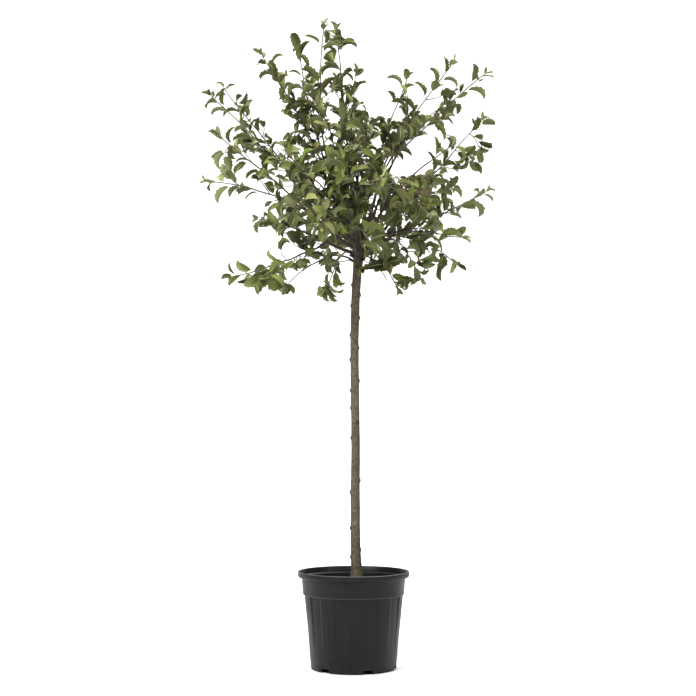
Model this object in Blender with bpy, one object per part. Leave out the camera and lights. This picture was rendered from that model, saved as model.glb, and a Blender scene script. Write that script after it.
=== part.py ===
"""Toringo crabapple grown as a small standard tree in a round nursery pot.

Frame: origin at the centre of the pot's flat underside, Z up, Y away from the
front, X to the right as seen from the front. Everything is in metres.

The tree is a straight clear stem with a knobbly graft head on top. Boughs leave
the head, and each ends where its mass of leafy shoots begins. The short shoots
that spring from the head itself are masses too.
"""

import math
import random

import bmesh
import bpy
from mathutils import Matrix, Vector
from mathutils.bvhtree import BVHTree
from mathutils.geometry import intersect_point_line

# Gaps and seeds
GAP = 0.0003
SEED = 41
LEAF_SEED = 1041

# Pot, a moulded container 28 cm across its rim
POT_HEIGHT = 0.240
RIM_RADIUS = 0.140
LIP_HEIGHT = 0.0145
LIP_SLANT = 0.0030
BAND_TOP_RADIUS = 0.1300
BAND_FOOT_RADIUS = 0.1262
BAND_FOOT_HEIGHT = 0.1835
WALL_TOP_RADIUS = 0.1238
WALL_FOOT_RADIUS = 0.1060
BASE_CORNER = 0.0025
WALL_THICKNESS = 0.0024
FLOOR_THICKNESS = 0.0030
EDGE_STEP = 0.0012
RIM_THICKNESS = 0.0036
LEDGE_RISE = 0.0020
RIB_COUNT = 10
RIB_START = -5.0
RIB_EDGES = (0.0, 17.0, 19.0, 34.0)
FLUTE_DEPTH = 0.0028
FLUTE_FADE_HEIGHT = 0.035
NOTCH_COUNT = 6
NOTCH_START = 19.0
NOTCH_WIDTH = 0.024
NOTCH_HEIGHT = 0.010
NOTCH_REACH = 0.010
SOIL_HEIGHT = 0.209
SOIL_ROOM = 0.0004
POT_ROUND = math.radians(35.0)

# Trunk stations: height, offset to the right, offset to the back, radius
TRUNK_STATIONS = (
    (SOIL_HEIGHT + GAP, 0.0088, 0.000, 0.0175),
    (0.222, 0.0086, 0.000, 0.0152),
    (0.245, 0.0075, 0.000, 0.0132),
    (0.300, 0.0050, 0.001, 0.0116),
    (0.420, 0.0042, 0.002, 0.0110),
    (0.560, 0.0055, 0.001, 0.0102),
    (0.700, 0.0035, 0.000, 0.0100),
    (0.820, 0.0025, -0.001, 0.0099),
    (0.925, 0.0055, -0.001, 0.0103),
    (0.985, 0.0090, 0.000, 0.0107),
    (1.025, 0.0125, 0.000, 0.0122),
    (1.055, 0.0110, 0.000, 0.0155),
    (1.080, 0.0070, 0.000, 0.0185),
    (1.098, 0.0050, 0.000, 0.0170),
    (1.108, 0.0045, 0.000, 0.0110),
)
TRUNK_SIDES = 10
TRUNK_RING_STEP = 0.070
WOOD_ROUND = math.radians(50.0)

# Limbs
BOUGH_SIDES = 5
BOUGH_RINGS = 4
BOUGH_FOOT_RADIUS = 0.0052
BOUGH_TIP_RADIUS = 0.0034
BOUGH_BOW = 0.10
BOUGH_SAG = 0.04
STEM_RADIUS = 0.0031
STEM_LENGTH = 0.014
SHOOT_FOOT = 0.3
SHOOT_RADIUS = 0.0026
SHOOT_TIP_RADIUS = 0.0013
SHOOT_RINGS = 5
SHOOT_HANDLE = 0.40
SHOOT_SIDES = 3
TWIG_RADIUS = 0.0017
TWIG_TIP_RADIUS = 0.0013
TWIG_SPACING = 0.085
TWIG_FIRST = 0.6
TWIG_JITTER = 0.15
TWIG_LENGTH = 0.085
TWIG_SHORTENING = 0.62
TWIG_REACHES = (0.7, 1.15)
TWIG_RISE = 0.12
TWIG_ANGLE = math.radians(52.0)
TWIG_LEANS = (0.85, 1.15)
GOLDEN_TURN = math.radians(137.5)

# Leaves, kites arched over their widest place, smaller towards the tip of a shoot
LEAF_LENGTH = 0.064
LEAF_WIDTH = 0.035
LEAF_THICKNESS = 0.0018
LEAF_WIDEST = 0.50
LEAF_ARCH = 0.10
LEAF_SINK = 0.30
LEAF_SPACING = 0.051
LEAF_ANGLE = math.radians(54.0)
LEAF_LIFT = 0.6
LEAF_ROLL = math.radians(50.0)
LEAF_TRIES = 5
LEAF_SIZES = (0.9, 1.1)
FIRST_LEAF = 0.010
SHOOT_END = 0.99
TWIG_END = 0.97
TWIG_LEAVES = (0.5, 0.8)
TWIG_LEAF_SIZES = (0.8, 1.05)
TIP_LEAF_ANGLE = math.radians(16.0)
YOUNG_LEAF = 0.48
YOUNG_STRETCH = 0.110

# Room kept round a mass and round every limb
SPACE_MARGIN = 0.0025
LIMB_ROOM = 0.0025

# Boughs: name, height of the foot on the trunk, fork, and the shoots that go on
# from it. A fork is (right, back, height), a shoot's tip is the same with the
# rise of its middle over an easy curve.
BOUGHS = (
    ("crest", 1.100, (-0.005, 0.015, 1.210),
     ((-0.045, 0.030, 1.613, 0.0), (0.005, -0.070, 1.480, 0.0))),
    ("left_high", 1.070, (-0.045, -0.015, 1.185),
     ((-0.075, -0.060, 1.600, 0.0), (-0.145, 0.090, 1.592, 0.0), (-0.225, -0.120, 1.512, 0.0))),
    ("left_upper", 1.056, (-0.090, 0.020, 1.155),
     ((-0.355, -0.060, 1.425, 0.0), (-0.338, 0.100, 1.485, 0.0))),
    ("left_mid", 1.046, (-0.080, -0.025, 1.110),
     ((-0.325, -0.180, 1.300, 0.0), (-0.368, 0.020, 1.225, 0.0))),
    ("left_low", 1.036, (-0.065, 0.030, 1.070),
     ((-0.250, 0.170, 1.150, 0.0), (-0.300, -0.040, 0.975, -0.05))),
    ("right_high", 1.064, (0.035, 0.020, 1.170),
     ((0.140, 0.090, 1.505, 0.0), (0.245, -0.050, 1.505, -0.02))),
    ("right_upper", 1.052, (0.055, -0.015, 1.180),
     ((0.332, 0.000, 1.495, -0.02), (0.230, 0.160, 1.445, 0.0))),
    ("right_mid", 1.040, (0.085, 0.030, 1.110),
     ((0.335, 0.120, 1.400, 0.0), (0.270, 0.260, 1.245, 0.0))),
    ("right_low", 1.034, (0.080, -0.030, 1.080),
     ((0.332, -0.020, 1.190, -0.03), (0.260, -0.140, 1.060, -0.02))),
    ("right_drop", 1.026, (0.055, 0.025, 1.050),
     ((0.255, -0.030, 1.010, 0.02), (0.175, 0.160, 0.995, 0.02))),
    ("front_high", 1.072, (-0.010, -0.065, 1.160),
     ((-0.080, -0.220, 1.360, 0.0), (0.030, -0.270, 1.325, 0.0))),
    ("front_left", 1.050, (-0.040, -0.070, 1.110),
     ((-0.160, -0.280, 1.245, 0.0), (-0.150, -0.310, 1.090, 0.0))),
    ("front_right", 1.054, (0.065, -0.060, 1.125),
     ((0.245, -0.190, 1.280, 0.0), (0.175, -0.270, 1.100, 0.0))),
    ("front_mid", 1.064, (0.005, -0.085, 1.120),
     ((-0.030, -0.340, 1.215, 0.0), (0.080, -0.310, 1.180, 0.0))),
    ("front_low", 1.032, (0.000, -0.075, 1.055),
     ((-0.085, -0.330, 1.060, 0.02), (0.045, -0.290, 1.020, 0.02))),
    ("back_high", 1.074, (0.010, 0.070, 1.195),
     ((-0.030, 0.240, 1.495, 0.0), (0.035, 0.280, 1.460, 0.0))),
    ("back_left", 1.060, (-0.040, 0.075, 1.150),
     ((-0.210, 0.260, 1.355, 0.0), (-0.185, 0.340, 1.265, 0.0))),
    ("back_right", 1.058, (0.055, 0.085, 1.155),
     ((0.140, 0.240, 1.420, 0.0), (0.195, 0.310, 1.210, 0.0))),
    ("back_mid", 1.046, (0.005, 0.090, 1.130),
     ((-0.020, 0.340, 1.325, 0.0), (0.065, 0.360, 1.230, 0.0))),
    ("back_low", 1.024, (0.000, 0.070, 1.080),
     ((-0.075, 0.310, 1.085, 0.02), (0.085, 0.300, 1.060, 0.02))),
)

# Masses that spring from the trunk: name, height of the foot, tips as above
TRUNK_SHOOTS = (
    ("drop_left", 1.012, ((-0.175, 0.100, 0.965, 0.010),)),
    ("hanger_left", 1.020, ((-0.065, -0.050, 0.940, 0.018),)),
    ("hanger_right", 1.010, ((0.105, -0.100, 0.945, 0.015), (0.085, -0.035, 0.965, 0.010))),
)
TRUNK_SHOOT_RISE = 0.5

# Colours, roughness
POT_LOOK = ((0.045, 0.045, 0.048), 0.45)
SOIL_LOOK = ((0.035, 0.024, 0.016), 0.95)
BARK_LOOK = ((0.150, 0.125, 0.090), 0.85)
LEAF_LOOK = ((0.110, 0.170, 0.050), 0.60)


def clear_scene():
    for piece in list(bpy.data.objects):
        bpy.data.objects.remove(piece)


def add_piece(name, verts, faces, look=None):
    """One object from points and faces, its faces turned outwards."""
    mesh = bpy.data.meshes.new(name)
    mesh.from_pydata([tuple(v) for v in verts], [], faces)
    shape = bmesh.new()
    shape.from_mesh(mesh)
    bmesh.ops.recalc_face_normals(shape, faces=shape.faces)
    shape.to_mesh(mesh)
    shape.free()
    piece = bpy.data.objects.new(name, mesh)
    bpy.context.scene.collection.objects.link(piece)
    if look:
        give_look(piece, look)
    return piece


def give_look(piece, look):
    colour, roughness = look
    finish = bpy.data.materials.new(piece.name)
    finish.use_nodes = True
    shader = finish.node_tree.nodes["Principled BSDF"]
    shader.inputs["Base Color"].default_value = (*colour, 1.0)
    shader.inputs["Roughness"].default_value = roughness
    shader.inputs["Metallic"].default_value = 0.0
    piece.data.materials.clear()
    piece.data.materials.append(finish)


def loft(rings):
    """Points and faces of a closed skin over rings of equal count, with flat ends."""
    count = len(rings[0])
    verts = [point for ring in rings for point in ring]
    faces = [tuple(range(count))]
    for level in range(len(rings) - 1):
        low = level * count
        for side in range(count):
            after = (side + 1) % count
            faces.append((low + side, low + after, low + count + after, low + count + side))
    last = (len(rings) - 1) * count
    faces.append(tuple(range(last, last + count)))
    return verts, faces


def apply_modifiers(piece):
    bpy.context.view_layer.update()
    evaluated = piece.evaluated_get(bpy.context.evaluated_depsgraph_get())
    done = bpy.data.meshes.new_from_object(evaluated)
    piece.modifiers.clear()
    raw = piece.data
    piece.data = done
    bpy.data.meshes.remove(raw)


def cut(piece, cutter):
    """Take the cutter out of the piece."""
    bite = piece.modifiers.new("cut", "BOOLEAN")
    bite.operation = "DIFFERENCE"
    bite.solver = "EXACT"
    bite.object = cutter
    apply_modifiers(piece)


def remove_all(pieces):
    for piece in list(pieces):
        mesh = piece.data
        bpy.data.objects.remove(piece)
        bpy.data.meshes.remove(mesh)


# Pot

def pot_angles():
    """Angles round the pot, from the front towards the right, and whether each lies in a flute."""
    period = 360.0 / RIB_COUNT
    return [
        (math.radians(RIB_START + rib * period + edge), place >= len(RIB_EDGES) // 2)
        for rib in range(RIB_COUNT)
        for place, edge in enumerate(RIB_EDGES)
    ]


def pot_ring(height, radius, flute=0.0):
    return [
        Vector((
            (radius - flute * sunk) * math.sin(angle),
            -(radius - flute * sunk) * math.cos(angle),
            height,
        ))
        for angle, sunk in pot_angles()
    ]


def inner_profile():
    """Heights and radii up the inside of the pot, from the floor to the lip."""
    return [
        (FLOOR_THICKNESS, WALL_FOOT_RADIUS - WALL_THICKNESS - EDGE_STEP),
        (BAND_FOOT_HEIGHT - 1.5 * LEDGE_RISE, WALL_TOP_RADIUS - FLUTE_DEPTH - WALL_THICKNESS),
        (BAND_FOOT_HEIGHT + LEDGE_RISE / 2, BAND_FOOT_RADIUS - WALL_THICKNESS),
        (POT_HEIGHT - LIP_HEIGHT, BAND_TOP_RADIUS - WALL_THICKNESS),
    ]


def build_pot():
    fade_radius = WALL_FOOT_RADIUS + (WALL_TOP_RADIUS - WALL_FOOT_RADIUS) * (
        FLUTE_FADE_HEIGHT / BAND_FOOT_HEIGHT)
    lip_foot = POT_HEIGHT - LIP_HEIGHT
    rings = [
        pot_ring(0.0, WALL_FOOT_RADIUS - BASE_CORNER),
        pot_ring(BASE_CORNER, WALL_FOOT_RADIUS),
        pot_ring(FLUTE_FADE_HEIGHT, fade_radius),
        pot_ring(BAND_FOOT_HEIGHT - LEDGE_RISE, WALL_TOP_RADIUS, FLUTE_DEPTH),
        pot_ring(BAND_FOOT_HEIGHT, BAND_FOOT_RADIUS),
        pot_ring(lip_foot - EDGE_STEP, BAND_TOP_RADIUS),
        pot_ring(lip_foot, RIM_RADIUS - LIP_SLANT),
        pot_ring(POT_HEIGHT - EDGE_STEP, RIM_RADIUS),
        pot_ring(POT_HEIGHT, RIM_RADIUS - EDGE_STEP),
        pot_ring(POT_HEIGHT, RIM_RADIUS - RIM_THICKNESS),
        pot_ring(lip_foot + LIP_SLANT, RIM_RADIUS - LIP_SLANT - WALL_THICKNESS),
    ]
    rings += [pot_ring(height, radius) for height, radius in reversed(inner_profile())]
    pot = add_piece("pot", *loft(rings))
    for number in range(NOTCH_COUNT):
        notch = notch_cutter(math.radians(NOTCH_START + number * 360.0 / NOTCH_COUNT))
        cut(pot, notch)
        remove_all([notch])
    give_look(pot, POT_LOOK)
    shade_round(pot)
    return pot


def notch_cutter(angle):
    """A block across the foot of the wall, open below, one drain slot wide."""
    half = NOTCH_WIDTH / 2
    inner = WALL_FOOT_RADIUS - NOTCH_REACH
    outer = WALL_FOOT_RADIUS + NOTCH_REACH
    corners = ((-half, inner), (half, inner), (half, outer), (-half, outer))
    turn = Matrix.Rotation(angle, 3, "Z")
    rings = [[turn @ Vector((x, -y, z)) for x, y in corners] for z in (-NOTCH_HEIGHT, NOTCH_HEIGHT)]
    cutter = add_piece("notch", *loft(rings))
    cutter.hide_render = True
    cutter.display_type = "WIRE"
    return cutter


def shade_round(piece, angle=POT_ROUND):
    piece.data.shade_smooth()
    piece.data.set_sharp_from_angle(angle=angle)


# Soil

def build_soil():
    """The potting soil, one plug that fills the pot clear of its walls."""
    profile = [(height, radius - SOIL_ROOM) for height, radius in inner_profile()]
    floor = (FLOOR_THICKNESS + GAP, profile[0][1])
    last, top = profile[2], profile[3]
    share = (SOIL_HEIGHT - last[0]) / (top[0] - last[0])
    surface = (SOIL_HEIGHT, last[1] + share * (top[1] - last[1]))
    levels = [floor, profile[1], last, surface]
    soil = add_piece("soil", *loft([pot_ring(height, radius) for height, radius in levels]))
    give_look(soil, SOIL_LOOK)
    shade_round(soil)
    return soil


# Limbs

def between(a, b, share):
    return a + (b - a) * share


def trunk_at(height):
    """Centre and radius of the trunk at a height, eased between its stations."""
    stations = TRUNK_STATIONS
    height = min(max(height, stations[0][0]), stations[-1][0])
    for low, high in zip(stations, stations[1:]):
        if height <= high[0]:
            share = (height - low[0]) / (high[0] - low[0])
            right, back, radius = (between(low[i], high[i], share) for i in (1, 2, 3))
            return Vector((right, back, height)), radius
    return Vector(stations[-1][:3]), stations[-1][3]


def trunk_rings(extra=0.0):
    """Rings up the trunk, at each station and evenly in the long runs between."""
    heights = []
    for low, high in zip(TRUNK_STATIONS, TRUNK_STATIONS[1:]):
        steps = max(1, round((high[0] - low[0]) / TRUNK_RING_STEP))
        heights += [between(low[0], high[0], step / steps) for step in range(steps)]
    heights.append(TRUNK_STATIONS[-1][0])
    rings = []
    for level, height in enumerate(heights):
        centre, radius = trunk_at(height)
        if extra and level in (0, len(heights) - 1):
            centre.z += extra if level else -extra
        rings.append([
            centre + Vector((math.cos(turn), math.sin(turn), 0.0)) * (radius + extra)
            for turn in (2 * math.pi * side / TRUNK_SIDES for side in range(TRUNK_SIDES))
        ])
    return rings


def build_trunk():
    trunk = add_piece("trunk", *loft(trunk_rings()), BARK_LOOK)
    shade_round(trunk, WOOD_ROUND)
    return trunk


def bend(start, handle, end, share):
    """Point on an easy curve that leaves start towards the handle and meets end."""
    return between(between(start, handle, share), between(handle, end, share), share)


def tube(path, radii, sides):
    """Points and faces of a tapering limb along a path, with flat ends."""
    rings = []
    across = (path[1] - path[0]).orthogonal().normalized()
    for place, centre in enumerate(path):
        before = path[max(place - 1, 0)]
        after = path[min(place + 1, len(path) - 1)]
        along = (after - before).normalized()
        across = (across - along * across.dot(along)).normalized()
        beside = along.cross(across)
        rings.append([
            centre + (across * math.cos(turn) + beside * math.sin(turn)) * radii[place]
            for turn in (2 * math.pi * side / sides for side in range(sides))
        ])
    return loft(rings)


def bough_path(foot_height, fork):
    """The bough from the trunk's middle to its fork, bowed a little outwards."""
    foot, _ = trunk_at(foot_height)
    fork = Vector(fork)
    reach = fork - foot
    outwards = Vector((reach.x, reach.y, 0.0))
    handle = between(foot, fork, 0.5) + outwards * BOUGH_BOW
    handle.z -= BOUGH_SAG * reach.length
    return [bend(foot, handle, fork, ring / BOUGH_RINGS) for ring in range(BOUGH_RINGS + 1)]


def shoot_path(start, heading, tip):
    """A shoot that leaves start along heading and ends at its tip."""
    end = Vector(tip[:3])
    handle = start + heading * SHOOT_HANDLE * (end - start).length + Vector((0, 0, 2 * tip[3]))
    return [bend(start, handle, end, ring / SHOOT_RINGS) for ring in range(SHOOT_RINGS + 1)]


def build_bough(name, foot_height, fork, clearance):
    path = bough_path(foot_height, fork)
    radii = [between(BOUGH_FOOT_RADIUS, BOUGH_TIP_RADIUS, ring / BOUGH_RINGS)
             for ring in range(BOUGH_RINGS + 1)]
    bough = add_piece("bough_" + name, *tube(path, radii, BOUGH_SIDES))
    cut(bough, clearance)
    give_look(bough, BARK_LOOK)
    shade_round(bough, WOOD_ROUND)
    return path, radii


# Plan of every mass: where its stem starts, how it heads and where its shoots run

def plan_masses():
    plans = []
    for name, foot_height, fork, tips in BOUGHS:
        path = bough_path(foot_height, fork)
        heading = (path[-1] - path[-2]).normalized()
        start = path[-1] + heading * GAP
        plans.append(plan_mass(name, start, heading, tips, on_trunk=False))
    for name, foot_height, tips in TRUNK_SHOOTS:
        start, _ = trunk_at(foot_height)
        reach = Vector(tips[0][:3]) - start
        heading = Vector((reach.x, reach.y, 0.0)).normalized()
        heading = (heading + Vector((0, 0, TRUNK_SHOOT_RISE))).normalized()
        plans.append(plan_mass(name, start, heading, tips, on_trunk=True))
    return plans


def plan_mass(name, start, heading, tips, on_trunk):
    stem = 2 * STEM_LENGTH if on_trunk else STEM_LENGTH
    inside = start + heading * stem * SHOOT_FOOT
    return {
        "name": name,
        "stem": [start, start + heading * stem],
        "shoots": [shoot_path(inside, heading, tip) for tip in tips],
        "on_trunk": on_trunk,
    }


def path_length(path):
    return sum((b - a).length for a, b in zip(path, path[1:]))


def path_at(path, share):
    """Point and direction at a share of the path's length."""
    left = share * path_length(path)
    for a, b in zip(path, path[1:]):
        step = (b - a).length
        if left <= step:
            return between(a, b, left / step), (b - a).normalized()
        left -= step
    return path[-1].copy(), (path[-1] - path[-2]).normalized()


def distance_to_path(point, path):
    nearest = math.inf
    for a, b in zip(path, path[1:]):
        share = intersect_point_line(point, a, b)[1]
        spot = between(a, b, min(max(share, 0.0), 1.0))
        nearest = min(nearest, (point - spot).length)
    return nearest


def distance_to_shoots(point, plan):
    return min(distance_to_path(point, shoot) for shoot in plan["shoots"])


def limb_room(point, limbs):
    """Free distance from a point to the nearest trunk or bough skin."""
    room = math.inf
    for path, radii in limbs:
        for a, b, thick, thin in zip(path, path[1:], radii, radii[1:]):
            share = min(max(intersect_point_line(point, a, b)[1], 0.0), 1.0)
            spot = between(a, b, share)
            room = min(room, (point - spot).length - between(thick, thin, share))
    return room


def keeps_to_space(points, plan, plans, limbs):
    """True where each point lies nearer this mass's shoots than any other's."""
    for point in points:
        own = distance_to_shoots(point, plan) + 2 * SPACE_MARGIN
        if any(distance_to_shoots(point, other) < own for other in plans if other is not plan):
            return False
        if limb_room(point, limbs) < LIMB_ROOM:
            return False
    return True


# Twigs and leaves

def turned_out(along, turn):
    """Direction square to a twig, at a turn round it."""
    across = along.orthogonal().normalized()
    return across * math.cos(turn) + along.cross(across) * math.sin(turn)


def side_twigs(plan, rng):
    """Straight side twigs, turned round each shoot by the golden angle."""
    twigs = []
    for shoot in plan["shoots"]:
        count = max(1, round(path_length(shoot) / TWIG_SPACING) - 1)
        turn = rng.uniform(0.0, 2 * math.pi)
        for place in range(count):
            share = (place + TWIG_FIRST + rng.uniform(-TWIG_JITTER, TWIG_JITTER)) / (count + 1 - TWIG_JITTER)
            start, along = path_at(shoot, share)
            turn += GOLDEN_TURN
            lean = TWIG_ANGLE * rng.uniform(*TWIG_LEANS)
            heading = along * math.cos(lean) + turned_out(along, turn) * math.sin(lean)
            reach = TWIG_LENGTH * (1.0 - TWIG_SHORTENING * share) * rng.uniform(*TWIG_REACHES)
            twigs.append([start, start + heading * reach + Vector((0, 0, TWIG_RISE * reach))])
    return twigs


def leaf_places(plan, twigs, rng):
    """Where leaves sit: host limb, its path and radii, share along it, size and lean."""
    places = []
    for host, shoot in enumerate(plan["shoots"]):
        radii = (SHOOT_RADIUS, SHOOT_TIP_RADIUS)
        length = path_length(shoot)
        places.append((host, shoot, radii, SHOOT_END, YOUNG_LEAF, TIP_LEAF_ANGLE))
        down = FIRST_LEAF
        while down < length - STEM_LENGTH / 2:
            grown = between(YOUNG_LEAF, 1.0, min(1.0, down / YOUNG_STRETCH))
            size = grown * rng.uniform(*LEAF_SIZES)
            places.append((host, shoot, radii, 1.0 - down / length, size, LEAF_ANGLE))
            down += LEAF_SPACING * grown
    for number, twig in enumerate(twigs):
        host = len(plan["shoots"]) + number
        radii = (TWIG_RADIUS, TWIG_TIP_RADIUS)
        places.append((host, twig, radii, TWIG_END, rng.uniform(*TWIG_LEAF_SIZES), TIP_LEAF_ANGLE))
        for share in TWIG_LEAVES:
            places.append((host, twig, radii, share, rng.uniform(*TWIG_LEAF_SIZES), LEAF_ANGLE))
    return places


def leaf_axes(path, share, turn, lean, roll):
    """Spot, axis and upper face of a leaf that leans off its twig, rolled about its rib."""
    spot, along = path_at(path, share)
    axis = (along * math.cos(lean) + turned_out(along, turn) * math.sin(lean)).normalized()
    face = along + Vector((0, 0, LEAF_LIFT))
    face = (face - axis * face.dot(axis)).normalized()
    return spot, axis, Matrix.Rotation(roll, 3, axis) @ face


def leaf_points(spot, axis, face, size, sink):
    """The five corners of an arched blade: root, tip, two sides and the keel below."""
    side = face.cross(axis)
    length = LEAF_LENGTH * size
    width = LEAF_WIDTH * size
    middle = spot + axis * length * LEAF_WIDEST + face * length * LEAF_ARCH
    return [
        spot - axis * sink,
        spot + axis * length - face * length * LEAF_ARCH,
        middle + side * width / 2,
        middle - side * width / 2,
        middle - face * LEAF_THICKNESS,
    ]


LEAF_FACES = [(0, 3, 2), (2, 3, 1), (0, 2, 4), (2, 1, 4), (1, 3, 4), (3, 0, 4)]


def leaf_samples(points):
    """Corners and edge middles of a leaf that must stay inside its mass's space."""
    root, tip, left, right, keel = points
    edges = [(side + end) / 2 for side in (left, right) for end in (tip, root)]
    return [tip, left, right, keel] + edges


def crosses_any(tree, others):
    return any(tree.overlap(other) for other in others)


def fuse(stem, pieces):
    """Union of the stem with every loose twig and leaf, keeping the one large skin."""
    heap = bpy.data.collections.new("heap")
    bpy.context.scene.collection.children.link(heap)
    for piece in pieces:
        bpy.context.scene.collection.objects.unlink(piece)
        heap.objects.link(piece)
    union = stem.modifiers.new("fuse", "BOOLEAN")
    union.operation = "UNION"
    union.solver = "EXACT"
    union.operand_type = "COLLECTION"
    union.collection = heap
    apply_modifiers(stem)
    remove_all(heap.objects)
    bpy.data.collections.remove(heap)
    keep_largest(stem)


def keep_largest(piece):
    """Drop loose scraps and fill sealed hollows by keeping only the widest skin."""
    shape = bmesh.new()
    shape.from_mesh(piece.data)
    left = set(shape.verts)
    skins = []
    while left:
        seed = left.pop()
        skin, edge = {seed}, [seed]
        while edge:
            for link in edge.pop().link_edges:
                for vert in link.verts:
                    if vert in left:
                        left.remove(vert)
                        skin.add(vert)
                        edge.append(vert)
        skins.append(skin)
    widest = max(skins, key=len)
    drop = [vert for vert in shape.verts if vert not in widest]
    bmesh.ops.delete(shape, geom=drop, context="VERTS")
    shape.to_mesh(piece.data)
    shape.free()


def build_mass(number, plan, plans, limbs, clearance):
    """One mass: its stem, shoots, side twigs and leaves fused into one skin."""
    leaf_rng = random.Random(LEAF_SEED + number)
    stem = add_piece("mass_" + plan["name"], *tube(plan["stem"], [STEM_RADIUS] * 2, BOUGH_SIDES))
    twigs = side_twigs(plan, random.Random(SEED + number))
    twigs = [twig for twig in twigs if keeps_to_space(twig[1:], plan, plans, limbs)]
    runs = [(shoot, SHOOT_RADIUS, SHOOT_TIP_RADIUS) for shoot in plan["shoots"]]
    runs += [(twig, TWIG_RADIUS, TWIG_TIP_RADIUS) for twig in twigs]
    loose, wood = [], []
    for path, thick, thin in runs:
        last = len(path) - 1
        radii = [between(thick, thin, step / last) for step in range(last + 1)]
        skin = tube(path, radii, SHOOT_SIDES)
        wood.append(BVHTree.FromPolygons(*skin))
        loose.append(add_piece("twig", *skin))
    leaves = []
    turn = leaf_rng.uniform(0.0, 2 * math.pi)
    for host, path, radii, share, size, lean in leaf_places(plan, twigs, leaf_rng):
        sink = LEAF_SINK * between(*radii, share)
        for _ in range(LEAF_TRIES):
            turn += GOLDEN_TURN
            roll = leaf_rng.uniform(-LEAF_ROLL, LEAF_ROLL)
            points = leaf_points(*leaf_axes(path, share, turn, lean, roll), size, sink)
            tree = BVHTree.FromPolygons(points, LEAF_FACES)
            if crosses_any(tree, wood[:host] + wood[host + 1:] + leaves):
                continue
            if keeps_to_space(leaf_samples(points), plan, plans, limbs):
                loose.append(add_piece("leaf", points, LEAF_FACES))
                leaves.append(tree)
                break
    fuse(stem, loose)
    if plan["on_trunk"]:
        cut(stem, clearance)
        keep_largest(stem)
    give_look(stem, LEAF_LOOK)


def build_tree():
    build_trunk()
    clearance = add_piece("trunk_clearance", *loft(trunk_rings(GAP)))
    clearance.hide_render = True
    clearance.display_type = "WIRE"
    stations = [trunk_at(station[0]) for station in TRUNK_STATIONS]
    limbs = [([centre for centre, _ in stations], [radius for _, radius in stations])]
    for name, foot_height, fork, _ in BOUGHS:
        limbs.append(build_bough(name, foot_height, fork, clearance))
    plans = plan_masses()
    for number, plan in enumerate(plans):
        build_mass(number, plan, plans, limbs, clearance)
    remove_all([clearance])


clear_scene()
build_pot()
build_soil()
build_tree()
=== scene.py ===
import random
from math import cos, exp, pi, radians, sin, sqrt

import bmesh
import bpy
import numpy as np
from mathutils import Matrix, Vector, noise


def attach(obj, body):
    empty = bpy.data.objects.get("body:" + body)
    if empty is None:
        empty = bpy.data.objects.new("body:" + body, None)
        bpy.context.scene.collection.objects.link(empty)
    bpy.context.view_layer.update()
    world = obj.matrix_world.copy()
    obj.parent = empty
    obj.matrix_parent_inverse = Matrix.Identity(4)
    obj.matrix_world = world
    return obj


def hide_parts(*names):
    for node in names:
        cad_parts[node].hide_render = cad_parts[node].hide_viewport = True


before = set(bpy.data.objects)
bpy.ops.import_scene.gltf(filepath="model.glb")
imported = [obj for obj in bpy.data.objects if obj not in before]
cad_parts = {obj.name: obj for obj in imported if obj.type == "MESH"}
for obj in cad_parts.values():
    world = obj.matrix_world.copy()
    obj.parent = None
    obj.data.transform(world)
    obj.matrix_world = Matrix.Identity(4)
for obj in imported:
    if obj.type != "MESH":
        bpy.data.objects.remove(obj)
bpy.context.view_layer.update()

# Studio: a pale seamless floor that sweeps up behind the plant, a soft lamp high in
# front on the left, a weaker one on the right, one behind it and one for the wall.
FLOOR_HALF_WIDTH = 7.0
FLOOR_FRONT = -6.0
FLOOR_BACK = 3.0
SWEEP_RADIUS = 2.0
SWEEP_STEPS = 12
WALL_TOP = 7.0
FLOOR_COLOUR = (0.86, 0.86, 0.855, 1.0)
SURROUND_COLOUR = (1.0, 1.0, 0.99, 1.0)
SURROUND_STRENGTH = 0.28
PLANT_MIDDLE = Vector((0.0, 0.0, 0.85))
WALL_MIDDLE = Vector((0.0, 5.0, 1.8))
LAMPS = (
    # name, place, what it is aimed at, size, power, colour
    ("key_lamp", (-2.1, -2.7, 3.9), PLANT_MIDDLE, 1.6, 320.0, (1.0, 0.97, 0.92)),
    ("fill_lamp", (2.8, -2.6, 2.6), PLANT_MIDDLE, 2.4, 55.0, (1.0, 0.99, 0.97)),
    ("back_lamp", (0.8, 2.8, 4.0), PLANT_MIDDLE, 2.4, 150.0, (1.0, 0.99, 0.97)),
    ("wall_lamp", (0.0, 2.4, 5.2), WALL_MIDDLE, 3.0, 170.0, (1.0, 1.0, 1.0)),
)


def make_finish(name, colour, roughness, shine=0.5):
    """A finish with its shader, ready for patterns."""
    finish = bpy.data.materials.new(name)
    finish.use_nodes = True
    shader = finish.node_tree.nodes["Principled BSDF"]
    shader.inputs["Base Color"].default_value = (*colour[:3], 1.0)
    shader.inputs["Roughness"].default_value = roughness
    shader.inputs["Specular IOR Level"].default_value = shine
    return finish, shader


def add_object(name, data):
    thing = bpy.data.objects.new(name, data)
    bpy.context.scene.collection.objects.link(thing)
    return thing


def make_piece(name, verts, faces, finishes, indices=None, round_angle=None):
    """One mesh piece, with its finishes dealt out by face."""
    mesh = bpy.data.meshes.new(name)
    mesh.from_pydata([tuple(v) for v in verts], [], [tuple(f) for f in faces])
    for finish in finishes:
        mesh.materials.append(finish)
    if indices is not None:
        mesh.polygons.foreach_set("material_index", np.asarray(indices, dtype=np.int32))
    if round_angle is not None:
        mesh.shade_smooth()
        mesh.set_sharp_from_angle(angle=round_angle)
    return add_object(name, mesh)


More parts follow.
